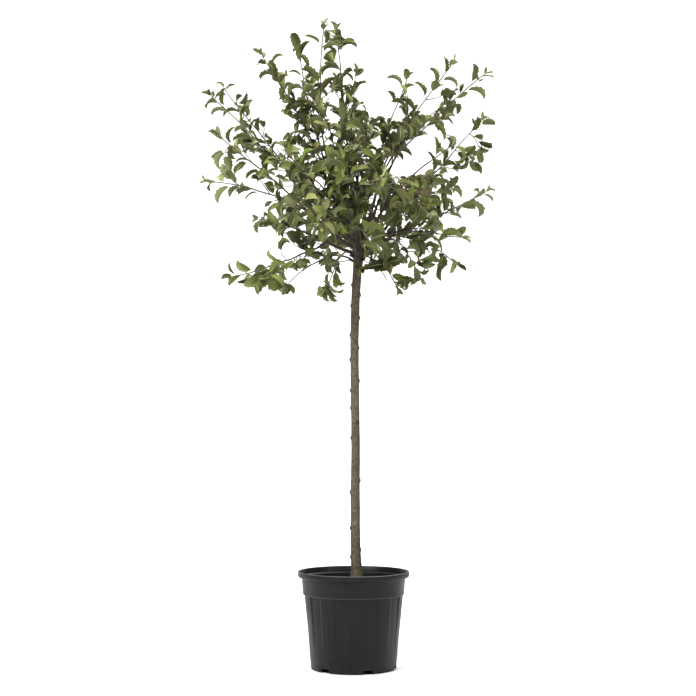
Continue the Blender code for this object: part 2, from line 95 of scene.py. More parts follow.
def studio_floor():
    profile = [(FLOOR_FRONT, 0.0), (FLOOR_BACK, 0.0)]
    profile += [
        (FLOOR_BACK + SWEEP_RADIUS * sin(turn), SWEEP_RADIUS * (1.0 - cos(turn)))
        for turn in (pi / 2 * step / SWEEP_STEPS for step in range(1, SWEEP_STEPS + 1))
    ]
    profile.append((FLOOR_BACK + SWEEP_RADIUS, WALL_TOP))
    verts = [(x, y, z) for y, z in profile for x in (-FLOOR_HALF_WIDTH, FLOOR_HALF_WIDTH)]
    faces = [(2 * row, 2 * row + 1, 2 * row + 3, 2 * row + 2) for row in range(len(profile) - 1)]
    finish, _ = make_finish("floor_paper", FLOOR_COLOUR, 0.9)
    make_piece("studio_floor", verts, faces, [finish], round_angle=radians(40.0))


studio_floor()
surround = bpy.data.worlds.new("surround")
surround.use_nodes = True
surround.node_tree.nodes["Background"].inputs["Color"].default_value = SURROUND_COLOUR
surround.node_tree.nodes["Background"].inputs["Strength"].default_value = SURROUND_STRENGTH
bpy.context.scene.world = surround
bpy.context.scene.view_settings.view_transform = "Standard"
for lamp_name, lamp_place, aim, lamp_size, lamp_power, lamp_colour in LAMPS:
    lamp = bpy.data.lights.new(lamp_name, "AREA")
    lamp.size = lamp_size
    lamp.energy = lamp_power
    lamp.color = lamp_colour
    holder = add_object(lamp_name, lamp)
    holder.location = lamp_place
    holder.rotation_euler = (aim - Vector(lamp_place)).to_track_quat("-Z", "Y").to_euler()

# Camera: eye 60 cm above the floor and 3.6 m off, tipped up a little as in the photograph,
# its angle of view worked out from the same picture.
VIEW_DISTANCE, VIEW_RIGHT, VIEW_HEIGHT = 3.6, -0.0138, 0.60
CAMERA_TILT = radians(3.15)
SENSOR_WIDTH = 36.0
FOCAL_PIXELS, PICTURE_PIXELS = 1430.0, 696.0

eye = bpy.data.cameras.new("eye")
eye.sensor_width = SENSOR_WIDTH
eye.lens = SENSOR_WIDTH * FOCAL_PIXELS / PICTURE_PIXELS
eye_holder = add_object("eye", eye)
eye_holder.location = (VIEW_RIGHT, -VIEW_DISTANCE, VIEW_HEIGHT)
eye_holder.rotation_euler = (pi / 2 + CAMERA_TILT, 0.0, 0.0)
bpy.context.scene.camera = eye_holder

# Pot: a moulded charcoal container with a slanting lip, a plain band and ten raised
# ribs that fade out towards the foot, with six drain slots cut in the corner of the base.
POT_HEIGHT = 0.240
RIM_RADIUS = 0.140
LIP_HEIGHT = 0.0145
BAND_RADIUS = 0.1300
LEDGE_RADIUS = 0.1262
LEDGE_HEIGHT = 0.1835
WALL_TOP_RADIUS = 0.1238
WALL_FOOT_RADIUS = 0.1060
WALL_THICKNESS = 0.0024
FLOOR_THICKNESS = 0.0030
RIB_COUNT = 10
RIB_START = radians(-5.0)
RIB_WIDTH = radians(17.0)
RIB_EDGE = radians(2.4)
FLUTE_DEPTH = 0.0028
FLUTE_FADE_HEIGHT = 0.035
FLUTE_EASING = 0.8
FOOT_ROUNDING = 0.0025
WALL_STEPS = 24
WALL_TOP_HEIGHT = LEDGE_HEIGHT - 0.0020
LIP_FOOT = POT_HEIGHT - LIP_HEIGHT
INNER_FOOT_RADIUS = WALL_FOOT_RADIUS - WALL_THICKNESS - 0.0012
INNER_TOP_RADIUS = WALL_TOP_RADIUS - FLUTE_DEPTH - WALL_THICKNESS
UPPER_PROFILE = (
    # height and radius from the ledge up the band, round the lip and down the inside
    (LEDGE_HEIGHT - 0.0006, LEDGE_RADIUS - 0.0008),
    (LEDGE_HEIGHT, LEDGE_RADIUS),
    (LEDGE_HEIGHT + 0.0012, LEDGE_RADIUS + 0.0002),
    (LIP_FOOT - 0.0026, BAND_RADIUS - 0.0004),
    (LIP_FOOT - 0.0008, BAND_RADIUS + 0.0004),
    (LIP_FOOT + 0.0002, RIM_RADIUS - 0.0044),
    (LIP_FOOT + 0.0004, RIM_RADIUS - 0.0030),
    (LIP_FOOT + 0.0014, RIM_RADIUS - 0.0017),
    (LIP_FOOT + 0.0040, RIM_RADIUS - 0.0008),
    (POT_HEIGHT - 0.0044, RIM_RADIUS),
    (POT_HEIGHT - 0.0022, RIM_RADIUS - 0.0001),
    (POT_HEIGHT - 0.0008, RIM_RADIUS - 0.0006),
    (POT_HEIGHT, RIM_RADIUS - 0.0018),
    (POT_HEIGHT - 0.0002, RIM_RADIUS - 0.0028),
    (POT_HEIGHT - 0.0012, RIM_RADIUS - 0.0034),
    (LIP_FOOT + 0.0010, RIM_RADIUS - 0.0060),
    (LIP_FOOT - 0.0020, BAND_RADIUS - WALL_THICKNESS),
    (LEDGE_HEIGHT, LEDGE_RADIUS - WALL_THICKNESS),
    (LEDGE_HEIGHT - 0.004, INNER_TOP_RADIUS),
    (FLOOR_THICKNESS, INNER_FOOT_RADIUS),
)
NOTCH_COUNT = 6
NOTCH_START = radians(19.0)
NOTCH_WIDTH = 0.024
NOTCH_HEIGHT = 0.010
NOTCH_REACH = 0.010
POT_STEPS = 360
POT_ROUGHNESS = 0.42
POT_SHINE = 0.20
POT_EDGE = radians(32.0)
SCUFF_SCALE = 38.0
DUST_SCALE = 55.0
DUST_TOP = 0.050
GRAIN_SCALE = 900.0
POT_COLOUR = (0.0040, 0.0040, 0.0064)
POT_WORN_COLOUR = (0.0088, 0.0088, 0.0118)
DUST_COLOUR = (0.018, 0.017, 0.016)
# painted highlight along the rounded top of the rim
RIM_HIGHLIGHT_COLOUR = (0.095, 0.095, 0.102)
# painted highlight along the ledge's rounded edge
LEDGE_HIGHLIGHT_COLOUR = (0.032, 0.032, 0.037)


def loft(rings):
    """Points and faces of a closed skin over rings of equal count, with flat ends."""
    count = len(rings[0])
    verts = [point for ring in rings for point in ring]
    faces = [tuple(reversed(range(count)))]
    for level in range(len(rings) - 1):
        low = level * count
        for side in range(count):
            after = (side + 1) % count
            faces.append((low + side, low + after, low + count + after, low + count + side))
    last = (len(rings) - 1) * count
    faces.append(tuple(range(last, last + count)))
    return verts, faces


def eased(value):
    value = min(max(value, 0.0), 1.0)
    return value * value * (3.0 - 2.0 * value)


def flute_share(angle):
    """0 on a rib, 1 in the flute beside it, rounded at the edges."""
    period = 2 * pi / RIB_COUNT
    turn = (angle - RIB_START) % period
    rise = eased((turn - RIB_WIDTH) / RIB_EDGE)
    fall = eased((period - turn) / RIB_EDGE)
    return min(rise, fall)


def circle_points(height, radius, steps, flute=0.0):
    """Points round the middle line from the front, drawn in where the wall is fluted."""
    ring = []
    for step in range(steps):
        angle = 2 * pi * step / steps
        reach = radius - flute * flute_share(angle)
        ring.append(Vector((reach * sin(angle), -reach * cos(angle), height)))
    return ring


def pot_rings():
    rings = [
        circle_points(0.0, WALL_FOOT_RADIUS - 0.0025, POT_STEPS),
        circle_points(0.0008, WALL_FOOT_RADIUS - 0.0008, POT_STEPS),
        circle_points(FOOT_ROUNDING, WALL_FOOT_RADIUS, POT_STEPS),
    ]
    for step in range(1, WALL_STEPS + 1):
        share = step / WALL_STEPS
        height = FOOT_ROUNDING + (WALL_TOP_HEIGHT - FOOT_ROUNDING) * share
        radius = WALL_FOOT_RADIUS + (WALL_TOP_RADIUS - WALL_FOOT_RADIUS) * share
        fade = (height - FLUTE_FADE_HEIGHT) / (LEDGE_HEIGHT - FLUTE_FADE_HEIGHT)
        flute = FLUTE_DEPTH * min(max(fade, 0.0), 1.0) ** FLUTE_EASING
        rings.append(circle_points(height, radius, POT_STEPS, flute))
    return rings + [circle_points(height, radius, POT_STEPS) for height, radius in UPPER_PROFILE]


def link_new(tree, kind, settings=None, **sockets):
    """A shader node with its settings, its sockets set or linked by name."""
    node = tree.nodes.new(kind)
    for key, value in (settings or {}).items():
        setattr(node, key, value)
    for key, value in sockets.items():
        socket = node.inputs[key.replace("_", " ")]
        if isinstance(value, bpy.types.NodeSocket):
            tree.links.new(value, socket)
        else:
            socket.default_value = value
    return node


def object_pattern(tree, stretch, scale, detail=4.0, rough=0.55):
    """A noise pattern fixed to the plant, stretched along its three axes."""
    place = link_new(tree, "ShaderNodeTexCoord").outputs["Object"]
    fitted = link_new(tree, "ShaderNodeMapping", Vector=place, Scale=stretch)
    pattern = link_new(tree, "ShaderNodeTexNoise", Vector=fitted.outputs["Vector"], Scale=scale,
                       Detail=detail, Roughness=rough)
    return pattern.outputs["Fac"]


def ramp(tree, value, stops):
    """Colours along a value; stops are (place, colour)."""
    band = link_new(tree, "ShaderNodeValToRGB", Fac=value)
    for number, (place, colour) in enumerate(stops):
        stop = band.color_ramp.elements[number] if number < 2 else band.color_ramp.elements.new(place)
        stop.position = place
        stop.color = (*colour, 1.0)
    return band.outputs["Color"]


def spread(tree, value, low, high, to_low=0.0, to_high=1.0):
    node = link_new(tree, "ShaderNodeMapRange", Value=value, From_Min=low, From_Max=high,
                    To_Min=to_low, To_Max=to_high)
    return node.outputs["Result"]


def blend_colours(tree, share, first, second):
    node = tree.nodes.new("ShaderNodeMix")
    node.data_type = "RGBA"
    for socket, value in ((node.inputs[0], share), (node.inputs[6], first), (node.inputs[7], second)):
        if isinstance(value, bpy.types.NodeSocket):
            tree.links.new(value, socket)
        else:
            socket.default_value = value
    return node.outputs[2]


def product(tree, first, second):
    node = link_new(tree, "ShaderNodeMath", {"operation": "MULTIPLY"})
    tree.links.new(first, node.inputs[0])
    tree.links.new(second, node.inputs[1])
    return node.outputs["Value"]


def add_bump(tree, shader, height, strength, distance):
    bump = link_new(tree, "ShaderNodeBump", Height=height, Strength=strength, Distance=distance)
    tree.links.new(bump.outputs["Normal"], shader.inputs["Normal"])


def pot_finish():
    """Charcoal plastic with a fine moulded grain, faint scuffs and dust low down, and painted highlights
    along the rim top and the ledge.
    """
    finish, shader = make_finish("charcoal_plastic", POT_COLOUR, POT_ROUGHNESS, POT_SHINE)
    tree = finish.node_tree
    scuffs = object_pattern(tree, (1.0, 1.0, 0.35), SCUFF_SCALE, 6.0, 0.62)
    colour = ramp(tree, scuffs, ((0.42, POT_COLOUR), (0.78, POT_WORN_COLOUR)))
    place = link_new(tree, "ShaderNodeTexCoord").outputs["Object"]
    height = link_new(tree, "ShaderNodeSeparateXYZ", Vector=place).outputs["Z"]
    patches = object_pattern(tree, (1.0, 1.0, 1.0), DUST_SCALE, 5.0)
    dust = product(tree, spread(tree, height, DUST_TOP, 0.0), spread(tree, patches, 0.45, 0.75))
    colour = blend_colours(tree, dust, colour, (*DUST_COLOUR, 1.0))
    # painted highlight: a lighter band round the top of the rim, where the rounded lip catches the light
    rim_highlight = spread(tree, height, POT_HEIGHT - 0.0022, POT_HEIGHT - 0.0008, 0.0, 0.8)
    colour = blend_colours(tree, rim_highlight, colour, (*RIM_HIGHLIGHT_COLOUR, 1.0))
    # painted highlight: a thin lighter line along the rounded edge of the ledge
    ledge = product(tree, spread(tree, height, LEDGE_HEIGHT - 0.0012, LEDGE_HEIGHT),
                    spread(tree, height, LEDGE_HEIGHT + 0.0024, LEDGE_HEIGHT + 0.0010))
    colour = blend_colours(tree, ledge, colour, (*LEDGE_HIGHLIGHT_COLOUR, 1.0))
    tree.links.new(colour, shader.inputs["Base Color"])
    tree.links.new(spread(tree, scuffs, 0.3, 0.8, 0.36, 0.56), shader.inputs["Roughness"])
    add_bump(tree, shader, object_pattern(tree, (1.0, 1.0, 1.0), GRAIN_SCALE, 2.0), 0.12, 0.0004)
    return finish


def cut_notches(pot):
    """Six slots through the corner of wall and base."""
    half = NOTCH_WIDTH / 2
    inner, outer = WALL_FOOT_RADIUS - NOTCH_REACH, WALL_FOOT_RADIUS + NOTCH_REACH
    corners = ((-half, outer), (half, outer), (half, inner), (-half, inner))
    verts, faces = [], []
    for number in range(NOTCH_COUNT):
        turn = Matrix.Rotation(NOTCH_START + number * 2 * pi / NOTCH_COUNT, 3, "Z")
        rings = [[turn @ Vector((x, -y, z)) for x, y in corners] for z in (-NOTCH_HEIGHT, NOTCH_HEIGHT)]
        block_verts, block_faces = loft(rings)
        faces += [tuple(len(verts) + corner for corner in face) for face in block_faces]
        verts += block_verts
    cutter = make_piece("slot_cutter", verts, faces, [])
    bite = pot.modifiers.new("slots", "BOOLEAN")
    bite.operation = "DIFFERENCE"
    bite.solver = "EXACT"
    bite.object = cutter
    bpy.context.view_layer.update()
    done = bpy.data.meshes.new_from_object(pot.evaluated_get(bpy.context.evaluated_depsgraph_get()))
    pot.modifiers.clear()
    pot.data = done
    bpy.data.objects.remove(cutter)


pot_shell = make_piece("pot_shell", *loft(pot_rings()), [pot_finish()])
cut_notches(pot_shell)
pot_shell.data.shade_smooth()
pot_shell.data.set_sharp_from_angle(angle=POT_EDGE)
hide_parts("pot")
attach(pot_shell, "root")

# Soil: moist dark compost filled to three centimetres below the rim, loose on top,
# with crumbs of bark and fibre pressed into it.
SOIL_HEIGHT = 0.209
SOIL_ROOM = 0.0004
SOIL_RINGS = 34
SOIL_STEPS = 120
SOIL_SLACK = 0.0030
SOIL_WAVES = ((38.0, 3.1, 0.0022), (170.0, 8.4, 0.0012))
SOIL_SEED = 17
CRUMB_COUNT = 420
CRUMB_SIZES = (0.0012, 0.0046)
SOFT_EDGE = radians(60.0)
SOIL_COLOURS = (
    (0.30, (0.010, 0.007, 0.005)),
    (0.52, (0.034, 0.022, 0.014)),
    (0.78, (0.085, 0.060, 0.038)),
)


def soil_top(x, y):
    height = SOIL_HEIGHT - SOIL_SLACK
    for scale, phase, rise in SOIL_WAVES:
        height += rise * noise.noise(Vector((x * scale, y * scale, phase)))
    return height


def soil_shape():
    share = (SOIL_HEIGHT - LEDGE_HEIGHT) / (LIP_FOOT - LEDGE_HEIGHT)
    edge = LEDGE_RADIUS + (BAND_RADIUS - LEDGE_RADIUS) * share - WALL_THICKNESS - SOIL_ROOM
    foot = INNER_FOOT_RADIUS - SOIL_ROOM
    rings = [circle_points(height, radius, SOIL_STEPS) for height, radius in (
        (FLOOR_THICKNESS + SOIL_ROOM, foot * 0.75), (0.030, foot),
        (LEDGE_HEIGHT - 0.005, INNER_TOP_RADIUS - SOIL_ROOM),
        (LEDGE_HEIGHT, LEDGE_RADIUS - WALL_THICKNESS - SOIL_ROOM))]
    for level in range(SOIL_RINGS):
        ring = circle_points(0.0, edge * (1.0 - level / SOIL_RINGS), SOIL_STEPS)
        rings.append([Vector((x, y, soil_top(x, y))) for x, y, _ in ring])
    verts, faces = loft(rings)
    rng = random.Random(SOIL_SEED)
    ball = bmesh.new()
    bmesh.ops.create_icosphere(ball, subdivisions=1, radius=1.0)
    for _ in range(CRUMB_COUNT):
        angle, radius = rng.uniform(0.0, 2 * pi), edge * 0.96 * sqrt(rng.random())
        x, y = radius * sin(angle), -radius * cos(angle)
        size = rng.uniform(*CRUMB_SIZES) * rng.uniform(0.5, 1.0)
        squash = size * Vector((rng.uniform(0.7, 1.6), rng.uniform(0.6, 1.0), rng.uniform(0.4, 0.8)))
        turn = Matrix.Rotation(rng.uniform(0.0, 2 * pi), 3, "Z")
        place = Vector((x, y, min(soil_top(x, y) + size * 0.2, SOIL_HEIGHT)))
        base = len(verts)
        verts += [turn @ (vert.co * squash * rng.uniform(0.85, 1.15)) + place for vert in ball.verts]
        faces += [tuple(base + vert.index for vert in face.verts) for face in ball.faces]
    ball.free()
    return verts, faces


def soil_finish():
    finish, shader = make_finish("moist_compost", SOIL_COLOURS[1][1], 0.95)
    tree = finish.node_tree
    grain = object_pattern(tree, (1.0, 1.0, 1.0), 260.0, 8.0, 0.7)
    tree.links.new(ramp(tree, grain, SOIL_COLOURS), shader.inputs["Base Color"])
    add_bump(tree, shader, grain, 0.7, 0.0012)
    return finish


soil_fill = make_piece("soil_fill", *soil_shape(), [soil_finish()], round_angle=SOFT_EDGE)
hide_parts("soil")
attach(soil_fill, "root")

# Stem: one straight young stem with a small root flare, the scars of rubbed-off side
# shoots up both sides, and a knobbly graft head where all the boughs start, its bark
# painted darker there as shade under the crown.
TRUNK_STATIONS = (
    # height, offset to the right, offset to the back, radius
    (SOIL_HEIGHT + 0.0003, 0.0088, 0.000, 0.0175),
    (0.222, 0.0086, 0.000, 0.0152),
    (0.245, 0.0075, 0.000, 0.0132),
    (0.300, 0.0050, 0.001, 0.0116),
    (0.420, 0.0042, 0.002, 0.0110),
    (0.560, 0.0055, 0.001, 0.0102),
    (0.700, 0.0035, 0.000, 0.0100),
    (0.820, 0.0025, -0.001, 0.0099),
    (0.925, 0.0055, -0.001, 0.0103),
    (0.985, 0.0090, 0.000, 0.0107),
    (1.025, 0.0125, 0.000, 0.0122),
    (1.055, 0.0110, 0.000, 0.0155),
    (1.080, 0.0070, 0.000, 0.0185),
    (1.098, 0.0050, 0.000, 0.0170),
    (1.108, 0.0045, 0.000, 0.0110),
)
TRUNK_STEPS = 56
TRUNK_RING_GAP = 0.0021
BARK_OUT = 0.0007
BARK_RIDGES = (0.00045, 0.00035)
FLARE_TOP = 0.250
FLARE_OUT = 0.0028
HEAD_FOOT = 1.015
HEAD_EASE = 0.030
HEAD_LUMPS = (0.0030, 0.0016)
# Height, turn from the right towards the back in degrees, how far the knob stands out.
KNOBS = (
    (275, 186, 2.0), (293, 352, 1.8), (347, 205, 3.0), (388, 80, 1.8), (436, 178, 2.6),
    (465, 5, 2.2), (512, 120, 2.0), (572, 190, 2.4), (610, 300, 1.5), (647, 176, 2.2),
    (691, 184, 2.4), (715, 350, 2.0), (742, 95, 2.2), (769, 182, 2.6), (798, 8, 2.2),
    (831, 188, 2.4), (874, 356, 2.2), (905, 180, 2.2), (932, 4, 2.6), (958, 176, 2.6),
    (986, 60, 2.2), (1002, 262, 1.8),
)
KNOB_REACH = 0.0054
KNOB_RISE = 1.25
KNOB_FALL = 1.4
KNOB_LIMIT = 2.6
KNOB_RADIUS = 0.0105
SCAR_SHARE = 0.75
DULL_SHARE = 0.62
STEM_GRAIN = 330.0
BARK_COLOURS = (
    (0.34, (0.034, 0.027, 0.018)),
    (0.50, (0.088, 0.072, 0.047)),
    (0.64, (0.172, 0.146, 0.102)),
)
SCAR_COLOUR = (0.022, 0.016, 0.012)
# painted shade for the graft head, which sits under the crown
HEAD_SHADE_COLOUR = (0.040, 0.028, 0.018, 1.0)
MOSS_COLOUR = (0.075, 0.085, 0.035, 1.0)


def between(a, b, share):
    return a + (b - a) * share


def trunk_at(height):
    """Centre and radius of the stem at a height."""
    for low, high in zip(TRUNK_STATIONS, TRUNK_STATIONS[1:]):
        if height <= high[0]:
            share = max(0.0, (height - low[0]) / (high[0] - low[0]))
            right, back, radius = (between(low[i], high[i], share) for i in (1, 2, 3))
            return Vector((right, back, height)), radius
    return Vector((*TRUNK_STATIONS[-1][1:3], TRUNK_STATIONS[-1][0])), TRUNK_STATIONS[-1][3]


def from_knob(height, angle, knob):
    """How far a spot lies above and beside the middle of a knob, in knob reaches."""
    turn = (angle - radians(knob[1]) + pi) % (2 * pi) - pi
    return (height - knob[0] / 1000.0) / KNOB_REACH, turn * KNOB_RADIUS / KNOB_REACH


def bark_relief(height, angle):
    """How far the bark stands out at a spot: ridges, knobs, root flare and graft head."""
    around = Vector((cos(angle) * 1.6, sin(angle) * 1.6, height * 22.0))
    out = BARK_OUT + BARK_RIDGES[0] * noise.noise(around) + BARK_RIDGES[1] * noise.noise(around * 3.7)
    for knob in KNOBS:
        rise, across = from_knob(height, angle, knob)
        if abs(rise) < KNOB_LIMIT:
            out += KNOB_RISE * knob[2] / 1000.0 * exp(-(rise * rise + across * across) * KNOB_FALL)
    if height < FLARE_TOP:
        foot = (FLARE_TOP - height) / (FLARE_TOP - SOIL_HEIGHT)
        out += FLARE_OUT * foot * foot * cos(4.0 * angle + 0.8) * (0.7 + 0.3 * sin(angle))
    if height > HEAD_FOOT:
        head = eased((height - HEAD_FOOT) / HEAD_EASE)
        lump = Vector((cos(angle) * 1.5, sin(angle) * 1.5, height * 85.0))
        out += head * (HEAD_LUMPS[0] * noise.noise(lump) + HEAD_LUMPS[1] * noise.noise(lump * 2.3))
    return out


def trunk_rings():
    bottom, top = TRUNK_STATIONS[0][0], TRUNK_STATIONS[-1][0]
    levels = round((top - bottom) / TRUNK_RING_GAP)
    rings = []
    for level in range(levels + 1):
        height = between(bottom, top, level / levels)
        centre, radius = trunk_at(height)
        ring = []
        for step in range(TRUNK_STEPS):
            angle = 2 * pi * step / TRUNK_STEPS
            reach = radius + bark_relief(height, angle)
            ring.append(centre + Vector((cos(angle), sin(angle), 0.0)) * reach)
        rings.append(ring)
    return rings


def trunk_tints(rings):
    """0 for bark, 1 for the dark scars on the knobs, face by face."""
    tints = [0]
    for low, high in zip(rings, rings[1:]):
        height = (low[0].z + high[0].z) / 2
        for step in range(TRUNK_STEPS):
            angle = 2 * pi * (step + 0.5) / TRUNK_STEPS
            places = [from_knob(height, angle, knob) for knob in KNOBS]
            scarred = any(rise * rise + across * across < SCAR_SHARE for rise, across in places)
            tints.append(1 if scarred else 0)
    return tints + [0]


def bark_finish(name, colours, fine, upright=0.16, shade_at_head_and_moss=False):
    """Young bark: fine upright streaks in light and dull patches, bump from the same
    grain; the stem's also has painted shade at the head, under the crown, and is mossy
    at the foot on one side."""
    finish, shader = make_finish(name, colours[1][1], 0.82)
    tree = finish.node_tree
    streaks = object_pattern(tree, (1.0, 1.0, upright), fine, 7.0, 0.66)
    patches = spread(tree, object_pattern(tree, (1.0, 1.0, 0.5), 26.0, 4.0), 0.35, 0.70)
    colour = ramp(tree, streaks, colours)
    dimmed = [(place, [DULL_SHARE * part for part in tone]) for place, tone in colours]
    dull = ramp(tree, streaks, dimmed)
    colour = blend_colours(tree, patches, dull, colour)
    if shade_at_head_and_moss:
        place = link_new(tree, "ShaderNodeTexCoord").outputs["Object"]
        axes = link_new(tree, "ShaderNodeSeparateXYZ", Vector=place)
        # painted shade: the bark darkens towards the graft head, in the shade under the crown
        head = spread(tree, axes.outputs["Z"], 0.985, 1.045, 0.0, 0.72)
        colour = blend_colours(tree, head, colour, HEAD_SHADE_COLOUR)
        low = spread(tree, axes.outputs["Z"], 0.262, 0.222)
        right = spread(tree, axes.outputs["X"], 0.004, 0.020)
        colour = blend_colours(tree, product(tree, low, right), colour, MOSS_COLOUR)
    tree.links.new(colour, shader.inputs["Base Color"])
    add_bump(tree, shader, streaks, 0.55, 0.0010)
    return finish


stem_rings = trunk_rings()
stem_finishes = [bark_finish("stem_bark_skin", BARK_COLOURS, STEM_GRAIN, upright=0.40, shade_at_head_and_moss=True),
                 make_finish("stem_scar_skin", SCAR_COLOUR, 0.85)[0]]
stem_bark = make_piece("stem_bark", *loft(stem_rings), stem_finishes, trunk_tints(stem_rings), SOFT_EDGE)
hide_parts("trunk")
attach(stem_bark, "root")

# Boughs: twenty short limbs of older wood that leave the head on all sides and end at
# a fork, each with swollen rings where last year's growth stopped.
# Name, height of the foot, fork, and the tips of the shoots that go on from it, all in
# millimetres (right, back, height and, where there is one, the rise of its middle).
BOUGHS = (
    ("crest", 1100, (-5, 15, 1210),
     ((-45, 30, 1613), (5, -70, 1480))),
    ("left_high", 1070, (-45, -15, 1185),
     ((-75, -60, 1600), (-145, 90, 1592), (-225, -120, 1512))),
    ("left_upper", 1056, (-90, 20, 1155),
     ((-355, -60, 1425), (-338, 100, 1485))),
    ("left_mid", 1046, (-80, -25, 1110),
     ((-325, -180, 1300), (-368, 20, 1225))),
    ("left_low", 1036, (-65, 30, 1070),
     ((-250, 170, 1150), (-300, -40, 975, -50))),
    ("right_high", 1064, (35, 20, 1170),
     ((140, 90, 1505), (245, -50, 1505, -20))),
    ("right_upper", 1052, (55, -15, 1180),
     ((332, 0, 1495, -20), (230, 160, 1445))),
    ("right_mid", 1040, (85, 30, 1110),
     ((335, 120, 1400), (270, 260, 1245))),
    ("right_low", 1034, (80, -30, 1080),
     ((332, -20, 1190, -30), (260, -140, 1060, -20))),
    ("right_drop", 1026, (55, 25, 1050),
     ((255, -30, 1010, 20), (175, 160, 995, 20))),
    ("front_high", 1072, (-10, -65, 1160),
     ((-80, -220, 1360), (30, -270, 1325))),
    ("front_left", 1050, (-40, -70, 1110),
     ((-160, -280, 1245), (-150, -310, 1090))),
    ("front_right", 1054, (65, -60, 1125),
     ((245, -190, 1280), (175, -270, 1100))),
    ("front_mid", 1064, (5, -85, 1120),
     ((-30, -340, 1215), (80, -310, 1180))),
    ("front_low", 1032, (0, -75, 1055),
     ((-85, -330, 1060, 20), (45, -290, 1020, 20))),
    ("back_high", 1074, (10, 70, 1195),
     ((-30, 240, 1495), (35, 280, 1460))),
    ("back_left", 1060, (-40, 75, 1150),
     ((-210, 260, 1355), (-185, 340, 1265))),
    ("back_right", 1058, (55, 85, 1155),
     ((140, 240, 1420), (195, 310, 1210))),
    ("back_mid", 1046, (5, 90, 1130),
     ((-20, 340, 1325), (65, 360, 1230))),
    ("back_low", 1024, (0, 70, 1080),
     ((-75, 310, 1085, 20), (85, 300, 1060, 20))),
)
BOUGH_RINGS = 4
BOUGH_SMOOTH = 24
BOUGH_FOOT_RADIUS = 0.0052
BOUGH_TIP_RADIUS = 0.0034
BOUGH_BOW = 0.10
BOUGH_SAG = 0.04
BOUGH_SIDES = 12
BOUGH_SEED = 5
BOUGH_GRAIN = 300.0
SWELL_RISE = 0.0005
SWELL_TURNS = 23.0
BOUGH_COLOURS = (
    (0.28, (0.020, 0.015, 0.011)),
    (0.50, (0.052, 0.040, 0.029)),
    (0.74, (0.120, 0.098, 0.074)),
)


def metres(place):
    """A place given in millimetres."""
    return Vector([part / 1000.0 for part in place[:3]])


def bend(start, handle, end, share):
    """Point on an easy curve that leaves start towards the handle and meets end."""
    return between(between(start, handle, share), between(handle, end, share), share)


def curve_points(start, handle, end, count):
    return [bend(start, handle, end, ring / count) for ring in range(count + 1)]


def tube(path, radii, sides):
    """Points and faces of a tapering limb along a path, with flat ends."""
    rings = []
    across = (path[1] - path[0]).orthogonal().normalized()
    for place, centre in enumerate(path):
        before = path[max(place - 1, 0)]
        after = path[min(place + 1, len(path) - 1)]
        along = (after - before).normalized()
        across = (across - along * across.dot(along)).normalized()
        beside = along.cross(across)
        rings.append([
            centre + (across * cos(turn) + beside * sin(turn)) * radii[place]
            for turn in (2 * pi * side / sides for side in range(sides))
        ])
    return loft(rings)


def bough_handle(foot, fork):
    reach = fork - foot
    handle = between(foot, fork, 0.5) + Vector((reach.x, reach.y, 0.0)) * BOUGH_BOW
    handle.z -= BOUGH_SAG * reach.length
    return handle


def join_skins(skins):
    """Many skins as one list of points and faces."""
    verts, faces = [], []
    for skin_verts, skin_faces in skins:
        base = len(verts)
        verts += skin_verts
        faces += [tuple(base + corner for corner in face) for face in skin_faces]
    return verts, faces


def bough_skin(foot_height, fork, rng):
    foot, fork = trunk_at(foot_height / 1000.0)[0], metres(fork)
    path = curve_points(foot, bough_handle(foot, fork), fork, BOUGH_SMOOTH)
    radii = []
    for step in range(BOUGH_SMOOTH + 1):
        share = step / BOUGH_SMOOTH
        swell = SWELL_RISE * max(0.0, sin(share * SWELL_TURNS + rng.uniform(0.0, 0.6))) ** 3
        radii.append(between(BOUGH_FOOT_RADIUS, BOUGH_TIP_RADIUS, share) + swell)
    return tube(path, radii, BOUGH_SIDES)


bough_rng = random.Random(BOUGH_SEED)
bough_skins = [bough_skin(foot, fork, bough_rng) for _, foot, fork, _ in BOUGHS]
bough_finish = bark_finish("bough_bark_skin", BOUGH_COLOURS, BOUGH_GRAIN)
bough_bark = make_piece("bough_bark", *join_skins(bough_skins), [bough_finish], round_angle=SOFT_EDGE)
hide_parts(*["bough_" + row[0] for row in BOUGHS])
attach(bough_bark, "root")

# Shoots and twigs: this year's and last year's growth, dark older wood that turns
# olive and then pale green towards the tips, with short spurs and side twigs.
TRUNK_SHOOTS = (
    ("drop_left", 1012, ((-175, 100, 965, 10),)),
    ("hanger_left", 1020, ((-65, -50, 940, 18),)),
    ("hanger_right", 1010, ((105, -100, 945, 15), (85, -35, 965, 10))),
)
GAP = 0.0003
SEED = 41
STEM_LENGTH = 0.014
SHOOT_FOOT = 0.3
TRUNK_SHOOT_RISE = 0.5
SHOOT_RINGS = 5
SHOOT_SMOOTH = 26
SHOOT_HANDLE = 0.40
SHOOT_RADIUS = 0.0027
SHOOT_TIP_RADIUS = 0.0012
SHOOT_WOBBLE = 0.0035
SHOOT_SIDES = 8
WANDER_TURNS = 4.0
JOINT_SWELL = 0.0003
STEM_SINK = 0.004
STEM_RADII = (0.0034, 0.0030)
STEM_SIDES = 10
TWIG_RADIUS = 0.0014
TWIG_TIP_RADIUS = 0.0009
TWIG_RINGS = 8
TWIG_SIDES = 6
TWIG_SAG = 0.10
TWIG_SPACING = 0.085
TWIG_FIRST = 0.6
TWIG_JITTER = 0.15
TWIG_LENGTH = 0.085
TWIG_SHORTENING = 0.62
TWIG_REACHES = (0.7, 1.15)
TWIG_RISE = 0.12
TWIG_ANGLE = radians(52.0)
TWIG_LEANS = (0.85, 1.15)
GOLDEN_TURN = radians(137.5)
WOOD_SHINE = 0.35
